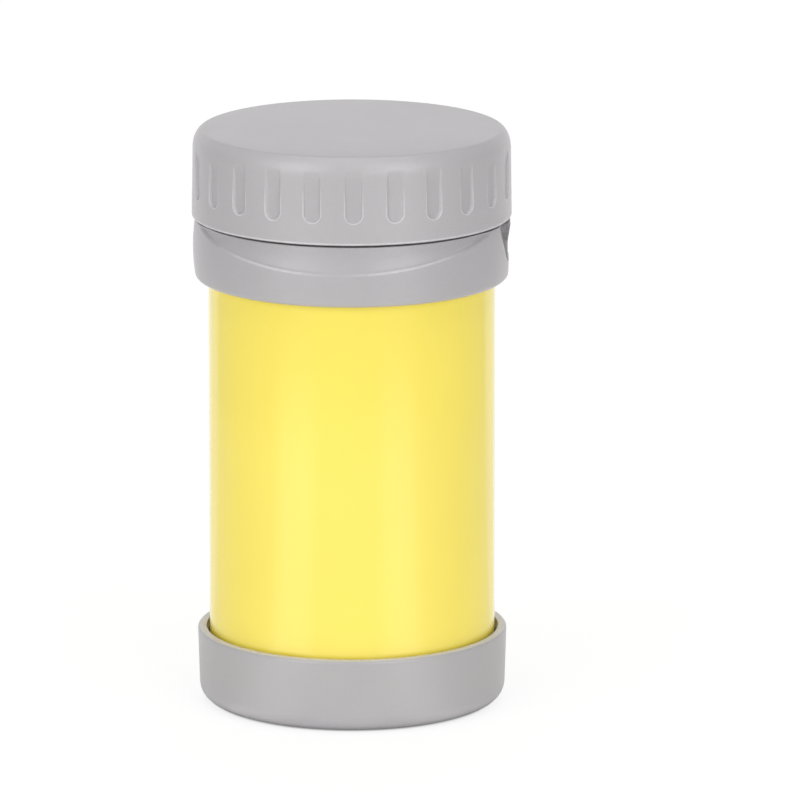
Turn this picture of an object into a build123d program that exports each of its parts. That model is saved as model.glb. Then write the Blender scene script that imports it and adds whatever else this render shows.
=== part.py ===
from build123d import *
import os
from math import atan2, degrees

# Vacuum-insulated food jar with a screw lid, in millimetres.
# Z is the jar's axis, pointing up. Z = 0 is the surface that the jar stands on.
# The strap loop is at +X, and the collar's thumb scoop faces -Y.

# ---- clearances ----
fit_gap = 0.1                 # between nested pieces that don't move
run_gap = 0.3                 # between round pieces that pass each other
pin_gap = 0.06                # the loop on its pin
thread_gap = 0.3              # between the flanks of the two threads

# ---- food vessel and lacquered shell ----
vessel_wall = 0.5
vessel_corner = 6.0
vessel_rise = 7.1             # vacuum space under the food vessel
neck_space = 0.9              # vacuum space around it in the neck
lip_height = 1.0
lip_rounding = 0.45
body_radius = 41.0            # outside of the shell
shell_wall = 0.6
shell_edge_rise = 0.2         # the shell ends this much above the bottom plate's face
shell_side = 119.9            # straight side, up to the shoulder
shoulder_rise = 3.0
shoulder_width = 2.5          # from the body in to the neck
shoulder_rounding = 2.5
neck_height = 28.9

# ---- bottom plate and what is in the vacuum ----
bottom_wall = 0.6
bottom_flange_height = 4.6
bottom_corner = 1.6
seal_well_radius = 13.4
seal_well_depth = 1.8
evacuation_hole_radius = 1.0
seal_bead_radius = 3.5
seal_bead_height = 0.8
seal_cover_gap = 0.8          # between the cover's rim and the well's side
seal_cover_wall = 0.7
foil_gap = 0.15
foil_wall = 0.15
foil_low_margin = 0.5         # from the vessel's corner to the foil's lower edge
foil_high_margin = 2.5        # from the shoulder to its upper edge
getter_radius = 4.5
getter_height = 2.2
getter_inset = 15.3           # from the bottom plate's flange to the getter's middle
clip_sheet = 0.4
clip_width = 4.0
clip_foot = 3.0

# ---- base cup ----
foot_drop = 0.2               # the foot ring stands this much proud of the cup
cup_floor = 2.6
cup_height = 20.8
cup_rim_wall = 3.1
cup_taper = 0.65              # the cup's foot is narrower than its rim
cup_bottom_rounding = 3.4
cup_rim_rounding = 0.9
cup_inner_rim_rounding = 0.4
cup_floor_rounding = 1.0
cup_recess_depth = 0.7
cup_recess_margin = 3.0       # from the recess to the foot ring
foot_inset = 6.25             # from the cup's side to the foot ring
foot_width = 4.5
foot_groove_depth = 1.2
foot_rounding = 0.3
buffer_height = 1.6
buffer_margin = 2.6           # from the seal well to the buffer's hole
buffer_width = 18.0

# ---- collar ----
collar_skirt = 0.65           # the collar starts this much below the shoulder
collar_height = 17.15
collar_wall = 3.5
collar_bulge = 0.5
collar_belly_rise = 8.35
collar_top_taper = 0.08
collar_low_rounding = 1.8
collar_lead = 1.0             # straight stretch inside the lower edge
gasket_seat_rise = 1.1        # from the shoulder's end to the ledge that presses the gasket
gasket_height = 2.6
gasket_inset = 0.8            # from the neck
gasket_width = 1.2
lock_depth = 2.8
lock_height = 2.4
lock_width = 2.1
scoop_depth = 0.32            # at the collar's upper edge
scoop_drop = 7.9              # its lower edge at the front, below the collar's top
scoop_rise = 11.7             # how much higher that edge lies at the sides

# ---- strap loop in its pocket ----
pocket_drop = 11.4            # the pocket's lower end, below the collar's top
pocket_depth = 1.06           # and its depth there
pocket_lean = 2.21            # how much deeper the sloping flat is at the top
well_wall = 2.2               # between the finger well and the neck
header_height = 1.4           # bar over the loop
ear_wall = 2.5
ear_drop = 2.0                # below the hinge
hinge_inset = 2.0             # from the collar's belly
knuckle_radius = 1.4
knuckle_gap = 0.4             # below the bar
pin_radius = 0.6
pin_blind_wall = 0.6
loop_width = 14.8
loop_inset = 0.7              # from the collar's belly to the loop's legs
loop_thickness = 2.1
loop_gap = 0.4                # between the loop's bar and the pocket's lower end
loop_bar_height = 1.6
loop_bar_proud = 0.15
loop_leg_width = 2.4
loop_rounding = 0.7

# ---- screw thread between neck and lid ----
thread_starts = 3
thread_lead = 18.0            # rise of the lid in one turn
thread_drop = 10.0            # from the lip down to the middle of a neck ridge's low end
neck_ridge_span = 100.0       # degrees
lid_ridge_span = 80.0
neck_ridge_height = 1.2
lid_ridge_height = 1.1
ridge_root = 1.1              # half of a ridge's thickness at its root
ridge_crest = 0.6             # and at its crest
ridge_sink = 0.25             # how far a ridge's root is sunk into its wall

# ---- lid ----
lid_gap = 0.5                 # between collar and lid
lid_proud = 0.58              # the cap stands this much outside the collar's lower edge
lid_wall = 1.7
lid_draft = 0.22              # the cap is wider at its lower edge
lid_roof = 1.8
roof_space = 4.4
roof_rounding = 2.5
lid_crown = 0.3
round_over_width = 3.17       # radial size of the top edge's rounding
round_over_height = 5.7
lid_low_rounding = 0.9
flute_count = 24
flute_width = 4.8
flute_depth = 0.66
flute_rise = 6.5              # above the lid's lower edge
flute_phase = 0.7             # degrees from the front to the nearest flute

plug_gap = 1.3                # between plug and mouth
plug_depth = 10.4             # below the lip
plug_floor = 1.6
plug_wall = 1.6
plug_rounding = 1.5
flange_wall = 1.8
skirt_inset = 0.5             # the threaded skirt ends above the cap's lower edge
skirt_wall = 1.6
weld_rib_wall = 1.5
seal_height = 1.5
seal_inset = 0.2              # from the neck's outside to the seal's outside
seal_sleeve_wall = 0.6
seal_sleeve_drop = 0.6
seal_ledge_gap = 0.5
seal_ledge_proud = 0.8
seal_ledge_height = 1.0

# ---- heights that follow ----
cup_top = foot_drop + cup_height
floor_top = foot_drop + cup_floor
bottom_z = floor_top + buffer_height
well_z = bottom_z + seal_well_depth
plate_top = bottom_z + bottom_wall
vessel_bottom = bottom_z + vessel_rise
shell_bottom = bottom_z + shell_edge_rise
shoulder_z = shell_bottom + shell_side
neck_z = shoulder_z + shoulder_rise
lip_bottom = neck_z + neck_height
lip_top = lip_bottom + lip_height

collar_bottom = shoulder_z - collar_skirt
collar_top = collar_bottom + collar_height
gasket_seat_z = neck_z + gasket_seat_rise
lock_seat_z = collar_top - lock_depth
pocket_z = collar_top - pocket_drop
header_z = collar_top - header_height
hinge_z = header_z - knuckle_gap - knuckle_radius

flange_z = lip_top + seal_height
liner_top = flange_z + flange_wall
roof_z = liner_top + roof_space
lid_top = roof_z + lid_roof
lid_bottom = collar_top + lid_gap
plug_bottom = lip_top - plug_depth

# ---- radii and other places that follow ----
flange_radius = body_radius - shell_wall - fit_gap
getter_offset = flange_radius - getter_inset
neck_radius = body_radius - shoulder_width
neck_bore = neck_radius + run_gap
vessel_radius = neck_radius - shell_wall - neck_space
mouth_radius = vessel_radius - vessel_wall
cup_bore = body_radius + run_gap
cup_rim_radius = cup_bore + cup_rim_wall
cup_foot_radius = cup_rim_radius - cup_taper
foot_outer_radius = cup_foot_radius - foot_inset
foot_inner_radius = foot_outer_radius - foot_width
collar_low_radius = body_radius + run_gap + collar_wall
collar_belly_radius = collar_low_radius + collar_bulge
collar_top_radius = collar_low_radius - collar_top_taper
gasket_inner_radius = neck_radius + gasket_inset
gasket_outer_radius = gasket_inner_radius + gasket_width
lock_outer_radius = neck_radius + fit_gap + lock_width

well_x = neck_bore + well_wall
hinge_x = collar_belly_radius - hinge_inset
loop_face_x = collar_belly_radius - loop_inset
loop_half = loop_width / 2
ear_gap_half = loop_half + run_gap
ear_half = ear_gap_half + ear_wall

skirt_radius = neck_radius + neck_ridge_height + run_gap
skirt_outer_radius = skirt_radius + skirt_wall
lid_radius = collar_low_radius + lid_proud
cap_bore = lid_radius - lid_wall
plug_radius = mouth_radius - plug_gap


def turned(*corners):
    """Solid turned about Z. A corner is (radius, height) or (radius, height, rounding)."""
    points = [corner[:2] for corner in corners]
    roundings = [corner[2] if len(corner) == 3 else 0 for corner in corners]
    outline = FilletPolyline(*points, radius=roundings, close=True)
    return revolve(Plane.XZ * make_face(outline), Axis.Z)


def pressed(wall, *corners):
    """Sheet-metal solid turned about Z. The corners follow its outer face, with the wall inside."""
    points = [corner[:2] for corner in corners]
    roundings = [corner[2] if len(corner) == 3 else 0 for corner in corners[1:-1]]
    face_line = FilletPolyline(*points, radius=roundings)
    sheet = offset(face_line, amount=wall, side=Side.LEFT)
    return revolve(Plane.XZ * make_face(sheet), Axis.Z)


def ring(inner, outer, low, high):
    """Plain ring, or a disc where the inner radius is zero."""
    return turned((inner, low), (outer, low), (outer, high), (inner, high))


def block(low, high):
    """Box between two opposite corners."""
    size = [b - a for a, b in zip(low, high)]
    return Pos(*low) * Box(*size, align=(Align.MIN, Align.MIN, Align.MIN))


def helix_ridges(root_radius, crest_radius, low_z, first_angle, span):
    """One ridge for each start of the thread, with a trapezium for its section."""
    outward = 1 if crest_radius > root_radius else -1
    sunk_radius = root_radius - outward * ridge_sink
    outline = Polyline(
        (sunk_radius, -ridge_root),
        (crest_radius, -ridge_crest),
        (crest_radius, ridge_crest),
        (sunk_radius, ridge_root),
        close=True,
    )
    path = Helix(thread_lead, thread_lead * span / 360, root_radius)
    ridge = sweep(Plane.XZ * make_face(outline), path=path, is_frenet=True)
    place = Pos(0, 0, low_z)
    pitch_angle = 360 / thread_starts
    return [place * Rot(0, 0, first_angle + k * pitch_angle) * ridge for k in range(thread_starts)]


# ---- steel vacuum flask ----
def make_outer_shell():
    shell = pressed(
        shell_wall,
        (body_radius, shell_bottom),
        (body_radius, shoulder_z, shoulder_rounding),
        (neck_radius, neck_z, shoulder_rounding),
        (neck_radius, lip_bottom),
    )
    crest = neck_radius + neck_ridge_height
    low_z = lip_bottom - thread_drop
    for ridge in helix_ridges(neck_radius, crest, low_z, 0, neck_ridge_span):
        shell += ridge
    return shell


def make_inner_vessel():
    """Food vessel with its rolled lip, which closes the vacuum space at the mouth."""
    return turned(
        (0, vessel_bottom),
        (vessel_radius, vessel_bottom, vessel_corner),
        (vessel_radius, lip_bottom),
        (neck_radius, lip_bottom),
        (neck_radius, lip_top, lip_rounding),
        (mouth_radius, lip_top, lip_rounding),
        (mouth_radius, vessel_bottom + vessel_wall, vessel_corner - vessel_wall),
        (0, vessel_bottom + vessel_wall),
    )


def make_outer_bottom():
    """Bottom plate, with a flange inside the shell and a well for the vacuum seal."""
    fold = bottom_wall + fit_gap
    plate = pressed(
        bottom_wall,
        (0, well_z),
        (seal_well_radius, well_z, fold),
        (seal_well_radius + bottom_wall, bottom_z, fold),
        (flange_radius, bottom_z, bottom_corner),
        (flange_radius, bottom_z + bottom_flange_height),
    )
    return plate - Pos(0, 0, well_z) * Cylinder(evacuation_hole_radius, 4 * bottom_wall)


def make_vacuum_seal():
    """Bead that closes the evacuation hole, with a stem that fills it."""
    stem_radius = evacuation_hole_radius - fit_gap
    return turned(
        (0, well_z - seal_bead_height),
        (seal_bead_radius, well_z - seal_bead_height, seal_bead_height / 2),
        (seal_bead_radius, well_z),
        (stem_radius, well_z),
        (stem_radius, well_z + bottom_wall),
        (0, well_z + bottom_wall),
    )


def make_seal_cover():
    """Shallow cap over the vacuum seal, with its rim against the well's roof."""
    floor = well_z - seal_bead_height - fit_gap
    outer = seal_well_radius - seal_cover_gap
    inner = outer - seal_cover_wall
    return turned(
        (0, floor - seal_cover_wall),
        (outer, floor - seal_cover_wall),
        (outer, well_z),
        (inner, well_z),
        (inner, floor),
        (0, floor),
    )


def make_heat_shield():
    """Foil wrapped round the food vessel in the vacuum space."""
    inner = vessel_radius + foil_gap
    low = vessel_bottom + vessel_corner + foil_low_margin
    return ring(inner, inner + foil_wall, low, shoulder_z - foil_high_margin)


def make_getter():
    return Pos(0, getter_offset, plate_top) * ring(0, getter_radius, 0, getter_height)


def make_getter_clip():
    """Sheet-metal bridge over the getter, with a foot at each end."""
    half = getter_radius + fit_gap
    outer = half + clip_sheet
    y_low = getter_offset - clip_width / 2
    y_high = getter_offset + clip_width / 2
    top = plate_top + getter_height
    bridge = block((-outer, y_low, plate_top), (outer, y_high, top + clip_sheet))
    bridge -= block((-half, y_low, plate_top), (half, y_high, top))
    for x_low in (-outer - clip_foot, outer):
        foot_end = (x_low + clip_foot, y_high, plate_top + clip_sheet)
        bridge += block((x_low, y_low, plate_top), foot_end)
    return bridge


# ---- base cup ----
def make_base_cup():
    """Cup glued under the flask, with a groove for the foot ring below."""
    groove_z = foot_drop + foot_groove_depth
    recess_z = foot_drop + cup_recess_depth
    recess_radius = foot_inner_radius - cup_recess_margin
    return turned(
        (0, recess_z),
        (recess_radius, recess_z),
        (recess_radius + cup_recess_depth, foot_drop),
        (foot_inner_radius, foot_drop),
        (foot_inner_radius, groove_z),
        (foot_outer_radius, groove_z),
        (foot_outer_radius, foot_drop),
        (cup_foot_radius, foot_drop, cup_bottom_rounding),
        (cup_rim_radius, cup_top, cup_rim_rounding),
        (cup_bore, cup_top, cup_inner_rim_rounding),
        (cup_bore, floor_top, cup_floor_rounding),
        (0, floor_top),
    )


def make_foot_ring():
    inner = foot_inner_radius + fit_gap
    outer = foot_outer_radius - fit_gap
    top = foot_drop + foot_groove_depth
    return turned((inner, 0, foot_rounding), (outer, 0, foot_rounding), (outer, top), (inner, top))


def make_base_buffer():
    """Foam ring between the flask and the cup."""
    inner = seal_well_radius + buffer_margin
    return ring(inner, inner + buffer_width, floor_top, bottom_z)


# ---- collar ----
def collar_outline():
    """Closed section of the collar before its scoop and pocket are cut."""
    seat_bore = gasket_outer_radius + fit_gap
    lock_bore = lock_outer_radius + fit_gap
    low_corner = collar_low_radius - collar_low_rounding
    low_arc_z = collar_bottom + collar_low_rounding
    low_arc = CenterArc((low_corner, low_arc_z), collar_low_rounding, -90, 90)
    belly = ThreePointArc(
        (collar_low_radius, low_arc_z),
        (collar_belly_radius, collar_bottom + collar_belly_rise),
        (collar_top_radius, collar_top),
    )
    inside = Polyline(
        (collar_top_radius, collar_top),
        (lock_bore, collar_top),
        (lock_bore, lock_seat_z),
        (neck_bore, lock_seat_z),
        (neck_bore, gasket_seat_z),
        (seat_bore, gasket_seat_z),
        (seat_bore, collar_bottom + collar_lead + cup_bore - seat_bore),
        (cup_bore, collar_bottom + collar_lead),
        (cup_bore, collar_bottom),
        (low_corner, collar_bottom),
    )
    return Plane.XZ * make_face(low_arc + belly + inside)


def scoop_cut():
    """Everything outside the scoop's wall and above a plane that rises towards the back."""
    reach = 2 * collar_belly_radius
    tilt = degrees(atan2(scoop_rise, collar_belly_radius))
    low_z = collar_top - scoop_drop
    above = Box(2 * reach, 2 * reach, reach, align=(Align.CENTER, Align.CENTER, Align.MIN))
    above = Pos(0, 0, low_z + scoop_rise) * Rot(tilt, 0, 0) * above
    return above & ring(collar_top_radius - scoop_depth, reach, collar_bottom, collar_top + 1)


def pocket_cuts():
    """Sloping flat across the collar, and the finger well between the loop's ears."""
    reach = 2 * collar_belly_radius
    low_x = collar_belly_radius - pocket_depth
    outline = Polyline(
        (low_x, pocket_z),
        (reach, pocket_z),
        (reach, collar_top),
        (low_x - pocket_lean, collar_top),
        close=True,
    )
    flat = extrude(Plane.XZ * make_face(outline), collar_belly_radius, both=True)
    well = block((well_x, -ear_gap_half, pocket_z), (reach, ear_gap_half, header_z))
    return flat, well


def loop_seat():
    """Bar over the loop, and the two ears that hold its pin."""
    ear_bottom = hinge_z - ear_drop
    seat = block((well_x, -ear_half, header_z), (collar_belly_radius, ear_half, collar_top))
    for low_y in (-ear_half, ear_gap_half):
        ear_end = (collar_belly_radius, low_y + ear_wall, header_z)
        seat += block((well_x, low_y, ear_bottom), ear_end)
    return seat & Cylinder(collar_belly_radius, 2 * collar_top)


def hinge_rod(radius, low_y, high_y):
    """Rod along the loop's hinge axis."""
    rod = Cylinder(radius, high_y - low_y, align=(Align.CENTER, Align.CENTER, Align.MIN))
    return Pos(hinge_x, low_y, hinge_z) * Rot(-90, 0, 0) * rod


def make_collar():
    flat, well = pocket_cuts()
    collar = revolve(collar_outline(), Axis.Z) - scoop_cut() - flat + loop_seat() - well
    return collar - hinge_rod(pin_radius + fit_gap / 2, pin_blind_wall - ear_half, ear_half + 1)


def make_collar_gasket():
    """Ring squeezed between the collar's ledge and the shell's shoulder."""
    slope = shoulder_rise / (body_radius - neck_radius)
    low_z = gasket_seat_z - gasket_height
    return turned(
        (gasket_inner_radius, low_z + slope * gasket_width),
        (gasket_outer_radius, low_z),
        (gasket_outer_radius, gasket_seat_z),
        (gasket_inner_radius, gasket_seat_z),
    )


def make_collar_lock_ring():
    """Ring on the neck that keeps the collar down."""
    return ring(neck_radius + fit_gap, lock_outer_radius, lock_seat_z, lock_seat_z + lock_height)


# ---- strap loop ----
def make_loop_pin():
    """Pin with its front end blind in one ear and its back end flush with the other."""
    return hinge_rod(pin_radius, pin_blind_wall - ear_half, ear_half)


def make_strap_loop():
    """Flat loop that hangs from a knuckle on the pin."""
    back_x = loop_face_x - loop_thickness
    bar_x = loop_face_x + loop_bar_proud
    bar_bottom = pocket_z + loop_gap
    bar_top = bar_bottom + loop_bar_height
    outline = FilletPolyline(
        (back_x, bar_bottom),
        (bar_x, bar_bottom),
        (bar_x, bar_top),
        (loop_face_x, bar_top + loop_bar_height),
        (loop_face_x, hinge_z),
        (back_x, hinge_z),
        radius=[loop_rounding, loop_rounding, loop_rounding, 0, 0, 0],
        close=True,
    )
    loop = extrude(Plane.XZ * make_face(outline), loop_half, both=True)
    loop += hinge_rod(knuckle_radius, -loop_half, loop_half)
    window_half = loop_half - loop_leg_width
    window_top = hinge_z - knuckle_radius
    loop -= block((0, -window_half, bar_top), (collar_belly_radius, window_half, window_top))
    return loop - hinge_rod(pin_radius + pin_gap, -loop_half, loop_half)


# ---- lid ----
def cap_outline():
    """Closed section of the cap before it is hollowed out: crown, round-over, side, lower edge."""
    flat_radius = lid_radius - round_over_width
    side_top = lid_top - round_over_height
    low_radius = lid_radius + lid_draft
    low_corner = low_radius - lid_low_rounding
    low_arc_z = lid_bottom + lid_low_rounding
    crown_z = lid_top + lid_crown
    crown_middle = (flat_radius / 2, lid_top + 0.75 * lid_crown)
    crown = ThreePointArc((0, crown_z), crown_middle, (flat_radius, lid_top))
    round_over = EllipticalCenterArc(
        (flat_radius, side_top), round_over_width, round_over_height, start_angle=0, arc_size=90
    )
    side = Line((lid_radius, side_top), (low_radius, low_arc_z))
    low_arc = CenterArc((low_corner, low_arc_z), lid_low_rounding, -90, 90)
    closing = Polyline((low_corner, lid_bottom), (0, lid_bottom), (0, crown_z))
    return Plane.XZ * make_face(crown + round_over + side + low_arc + closing)


def flute_cuts():
    """Upright slots with flat floors, round at the bottom and running out at the top."""
    low_z = lid_bottom + flute_rise
    length = 2 * (lid_top - low_z)
    slot = Pos(0, low_z + length / 2) * SlotOverall(length, flute_width, rotation=90)
    flute = extrude(Plane.YZ.offset(lid_radius - flute_depth) * slot, lid_wall)
    step = 360 / flute_count
    return [Rot(0, 0, flute_phase - 90 + k * step) * flute for k in range(flute_count)]


def make_lid_cap():
    """Outer shell of the lid, with flutes for grip and a rib that is welded to the liner."""
    cap = revolve(cap_outline(), Axis.Z)
    cap -= turned(
        (0, lid_bottom), (cap_bore, lid_bottom), (cap_bore, roof_z, roof_rounding), (0, roof_z)
    )
    cap += ring(skirt_outer_radius - weld_rib_wall, skirt_outer_radius, liner_top, roof_z)
    return cap - flute_cuts()


def make_lid_liner():
    """Inner half of the lid: the hollow plug, its flange and the threaded skirt."""
    ledge_radius = plug_radius + seal_ledge_proud
    ledge_top = lip_top - seal_sleeve_drop - seal_ledge_gap
    ledge_low = ledge_top - seal_ledge_height
    skirt_bottom = lid_bottom + skirt_inset
    liner = turned(
        (0, plug_bottom),
        (plug_radius, plug_bottom, plug_rounding),
        (plug_radius, ledge_low - seal_ledge_proud),
        (ledge_radius, ledge_low),
        (ledge_radius, ledge_top),
        (plug_radius, ledge_top),
        (plug_radius, flange_z),
        (skirt_radius, flange_z),
        (skirt_radius, skirt_bottom),
        (skirt_outer_radius, skirt_bottom),
        (skirt_outer_radius, liner_top),
        (plug_radius - plug_wall, liner_top),
        (plug_radius - plug_wall, plug_bottom + plug_floor),
        (0, plug_bottom + plug_floor),
    )
    spare_angle = (neck_ridge_span - lid_ridge_span) / 2
    flank_drop = ridge_root + ridge_crest + thread_gap
    low_z = lip_bottom - thread_drop + thread_lead * spare_angle / 360 - flank_drop
    crest = skirt_radius - lid_ridge_height
    for ridge in helix_ridges(skirt_radius, crest, low_z, spare_angle, lid_ridge_span):
        liner += ridge
    return liner


def make_lid_foam():
    """Insulating foam that fills the plug and the space under the lid's roof."""
    low_radius = plug_radius - plug_wall - fit_gap
    high_radius = skirt_outer_radius - weld_rib_wall - fit_gap
    return turned(
        (0, plug_bottom + plug_floor),
        (low_radius, plug_bottom + plug_floor),
        (low_radius, liner_top),
        (high_radius, liner_top),
        (high_radius, roof_z),
        (0, roof_z),
    )


def make_lid_seal():
    """Flat seal between the jar's lip and the lid's flange, with a sleeve inside the mouth."""
    inner = plug_radius + run_gap
    sleeve = inner + seal_sleeve_wall
    outer = neck_radius - seal_inset
    low = lip_top - seal_sleeve_drop
    return turned(
        (inner, low),
        (sleeve, low),
        (sleeve, lip_top),
        (outer, lip_top),
        (outer, flange_z),
        (inner, flange_z),
    )


nodes = {
    "outer_shell": make_outer_shell(),
    "inner_vessel": make_inner_vessel(),
    "outer_bottom": make_outer_bottom(),
    "vacuum_seal": make_vacuum_seal(),
    "seal_cover": make_seal_cover(),
    "heat_shield": make_heat_shield(),
    "getter": make_getter(),
    "getter_clip": make_getter_clip(),
    "base_cup": make_base_cup(),
    "foot_ring": make_foot_ring(),
    "base_buffer": make_base_buffer(),
    "collar": make_collar(),
    "collar_gasket": make_collar_gasket(),
    "collar_lock_ring": make_collar_lock_ring(),
    "strap_loop": make_strap_loop(),
    "loop_pin": make_loop_pin(),
    "lid_cap": make_lid_cap(),
    "lid_liner": make_lid_liner(),
    "lid_foam": make_lid_foam(),
    "lid_seal": make_lid_seal(),
}

os.makedirs("parts", exist_ok=True)
for name, shape in nodes.items():
    export_step(shape, f"parts/{name}.step")
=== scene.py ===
from math import ceil, pi, radians
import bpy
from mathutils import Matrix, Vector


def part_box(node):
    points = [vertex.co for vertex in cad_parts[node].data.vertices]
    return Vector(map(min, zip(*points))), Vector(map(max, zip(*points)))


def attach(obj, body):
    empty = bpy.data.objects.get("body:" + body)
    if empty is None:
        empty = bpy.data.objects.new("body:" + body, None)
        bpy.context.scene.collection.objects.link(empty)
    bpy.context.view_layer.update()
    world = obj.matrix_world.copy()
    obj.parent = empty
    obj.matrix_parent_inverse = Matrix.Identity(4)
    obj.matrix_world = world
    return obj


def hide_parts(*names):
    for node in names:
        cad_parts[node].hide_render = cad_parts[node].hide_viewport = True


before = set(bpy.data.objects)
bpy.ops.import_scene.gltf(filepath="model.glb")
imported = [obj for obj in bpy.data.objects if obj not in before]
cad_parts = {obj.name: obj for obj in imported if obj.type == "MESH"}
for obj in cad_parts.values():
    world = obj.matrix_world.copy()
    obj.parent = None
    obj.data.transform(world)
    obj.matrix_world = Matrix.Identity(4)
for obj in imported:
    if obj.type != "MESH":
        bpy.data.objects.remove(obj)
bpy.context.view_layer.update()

from types import SimpleNamespace

import bmesh
import bpy
import numpy as np
from bpy.props import FloatProperty, FloatVectorProperty, IntProperty, PointerProperty
from bpy.types import NodeSocket, Operator, Panel, PropertyGroup

bl_info = {
    "name": "Insulated Food Jar",
    "version": (1, 0, 0),
    "blender": (4, 5, 0),
    "location": "3D View > Sidebar > Food Jar",
    "description": "Builds the surfaces and finishes of an insulated food jar on its CAD frame",
    "category": "Add Mesh",
}

MM = 0.001
FULL_TURN = 2 * pi
ARC_STEP = radians(13)        # angle between two points on a rounding
SHARP_EDGE = radians(38)
MERGE_DISTANCE = 1e-7


def cad_span(node):
    """Lowest and highest corner of a CAD node, in millimetres."""
    low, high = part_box(node)
    return np.array(low) / MM, np.array(high) / MM


SHELL_LOW, SHELL_HIGH = cad_span("outer_shell")
VESSEL_LOW, VESSEL_HIGH = cad_span("inner_vessel")
CUP_LOW, CUP_HIGH = cad_span("base_cup")
FOOT_HIGH = cad_span("foot_ring")[1]
COLLAR_LOW, COLLAR_HIGH = cad_span("collar")
CAP_LOW, CAP_HIGH = cad_span("lid_cap")
LINER_LOW, LINER_HIGH = cad_span("lid_liner")
SEAL_LOW, SEAL_HIGH = cad_span("lid_seal")
LOOP_LOW, LOOP_HIGH = cad_span("strap_loop")
PIN_LOW, PIN_HIGH = cad_span("loop_pin")
SHOULDER_WIDTH = 2.5
SHELL_FIT = 0.3               # space between the shell and the plastic round it


# ---- sizes and colours that a user would change ----
def size(name, description, millimetres):
    return FloatProperty(
        name=name,
        description=description,
        default=float(millimetres) * MM,
        min=0.0,
        precision=5,
        unit="LENGTH",
        subtype="DISTANCE",
    )


def colour(name, description, value):
    return FloatVectorProperty(
        name=name,
        description=description,
        default=value,
        min=0.0,
        max=1.0,
        size=3,
        subtype="COLOR",
    )


def level(name, description, value):
    return FloatProperty(name=name, description=description, default=value, min=0.0)


class JarLidSettings(PropertyGroup):
    round_over_width: size("Round-over width", "How far the top edge's rounding reaches in", 3.17)
    round_over_height: size("Round-over height", "How far the top edge's rounding reaches down", 5.7)
    crown: size("Crown", "How much higher the lid's middle is than its edge", 0.3)
    draft: size("Draft", "How much wider the skirt is at its lower edge", 0.22)
    low_gap: size("Lower gap", "Extra space under the skirt's lower edge", 0.45)
    low_rounding: size("Lower rounding", "Rounding of the skirt's lower edge", 0.4)
    wall: size("Wall", "Wall of the skirt", 1.7)
    roof: size("Roof", "Thickness of the lid's roof", 1.8)
    flute_count: IntProperty(
        name="Flutes", description="Number of grip flutes round the skirt", default=24, min=3, max=60
    )
    flute_width: size("Flute width", "Width of one flute", 4.8)
    flute_depth: size("Flute depth", "Depth of one flute", 0.58)
    flute_rise: size("Flute rise", "From the lid's lower edge to a flute's round end", 6.8)
    flute_edge: size("Flute edge", "Width of the rounded step at a flute's edge", 0.54)
    flute_top: size("Flute top", "From the lid's top down to where a flute begins", 3.7)
    flute_run: size("Flute run-out", "Height over which a flute gets its full depth", 5.0)
    tint: colour("Lid plastic", "Colour of the moulded lid", (0.458, 0.442, 0.456))
    liner_tint: colour("Liner plastic", "Colour of the lid's inner half", (0.70, 0.70, 0.69))
    seal_tint: colour("Seal", "Colour of the silicone seal", (0.78, 0.80, 0.80))


class JarCollarSettings(PropertyGroup):
    bulge: size("Bulge", "How much the belly stands out from the lower edge", 0.5)
    top_taper: size("Top taper", "How much narrower the upper edge is than the lower one", 0.08)
    belly_rise: size("Belly height", "From the lower edge to the widest place", 8.35)
    low_rounding: size("Lower rounding", "Rounding of the lower edge", 1.8)
    scoop_depth: size("Scoop depth", "Depth of the thumb scoop at the upper edge", 0.7)
    scoop_lean: size("Scoop lean", "How much the scoop's wall leans in over its height", 0.6)
    rim_lift: size("Rim lift", "How far the upper edge stands up past its solid", 0.15)
    scoop_drop: size("Scoop drop", "From the upper edge down to the scoop's ledge at the front", 7.9)
    scoop_rise: size("Scoop rise", "How much higher the ledge lies at the sides", 11.7)
    scoop_shift: size("Scoop shift", "How far left of the front the scoop's middle lies", 4.6)
    tint: colour("Collar plastic", "Colour of the moulded collar", (0.440, 0.425, 0.440))


class JarLoopSettings(PropertyGroup):
    pocket_drop: size("Pocket drop", "From the collar's upper edge to the pocket's lower end", 11.4)
    pocket_depth: size("Pocket depth", "Depth of the pocket at its lower end", 1.06)
    pocket_lean: size("Pocket lean", "How much deeper the sloping flat is at the top", 2.21)
    leg_width: size("Leg width", "Width of the loop's legs", 2.4)
    bar_height: size("Bar height", "Height of the loop's lower bar", 1.6)
    thickness: size("Thickness", "Thickness of the loop", 2.1)
    knuckle_radius: size("Knuckle radius", "Radius of the barrel round the pin", 1.3)
    tint: colour("Loop plastic", "Colour of the strap loop", (0.31, 0.302, 0.31))


class JarFlaskSettings(PropertyGroup):
    shoulder_height: size("Shoulder height", "Height of the shell's shoulder above the ground", 124.5)
    shoulder_rise: size("Shoulder rise", "Height of the shoulder's slope", 3.0)
    shoulder_width: size("Shoulder width", "From the body in to the neck", SHOULDER_WIDTH)
    shell_wall: size("Shell wall", "Sheet of the shell", 0.6)
    vessel_wall: size("Vessel wall", "Sheet of the food vessel", 0.5)
    neck_space: size("Neck space", "Vacuum space in the neck", 0.9)
    thread_lead: size("Thread lead", "Rise of the lid in one turn", 18.0)
    lacquer: colour("Lacquer", "Colour of the lacquered shell", (0.99, 0.82, 0.122))
    steel: colour("Steel", "Colour of the bare steel", (0.60, 0.595, 0.585))


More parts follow.
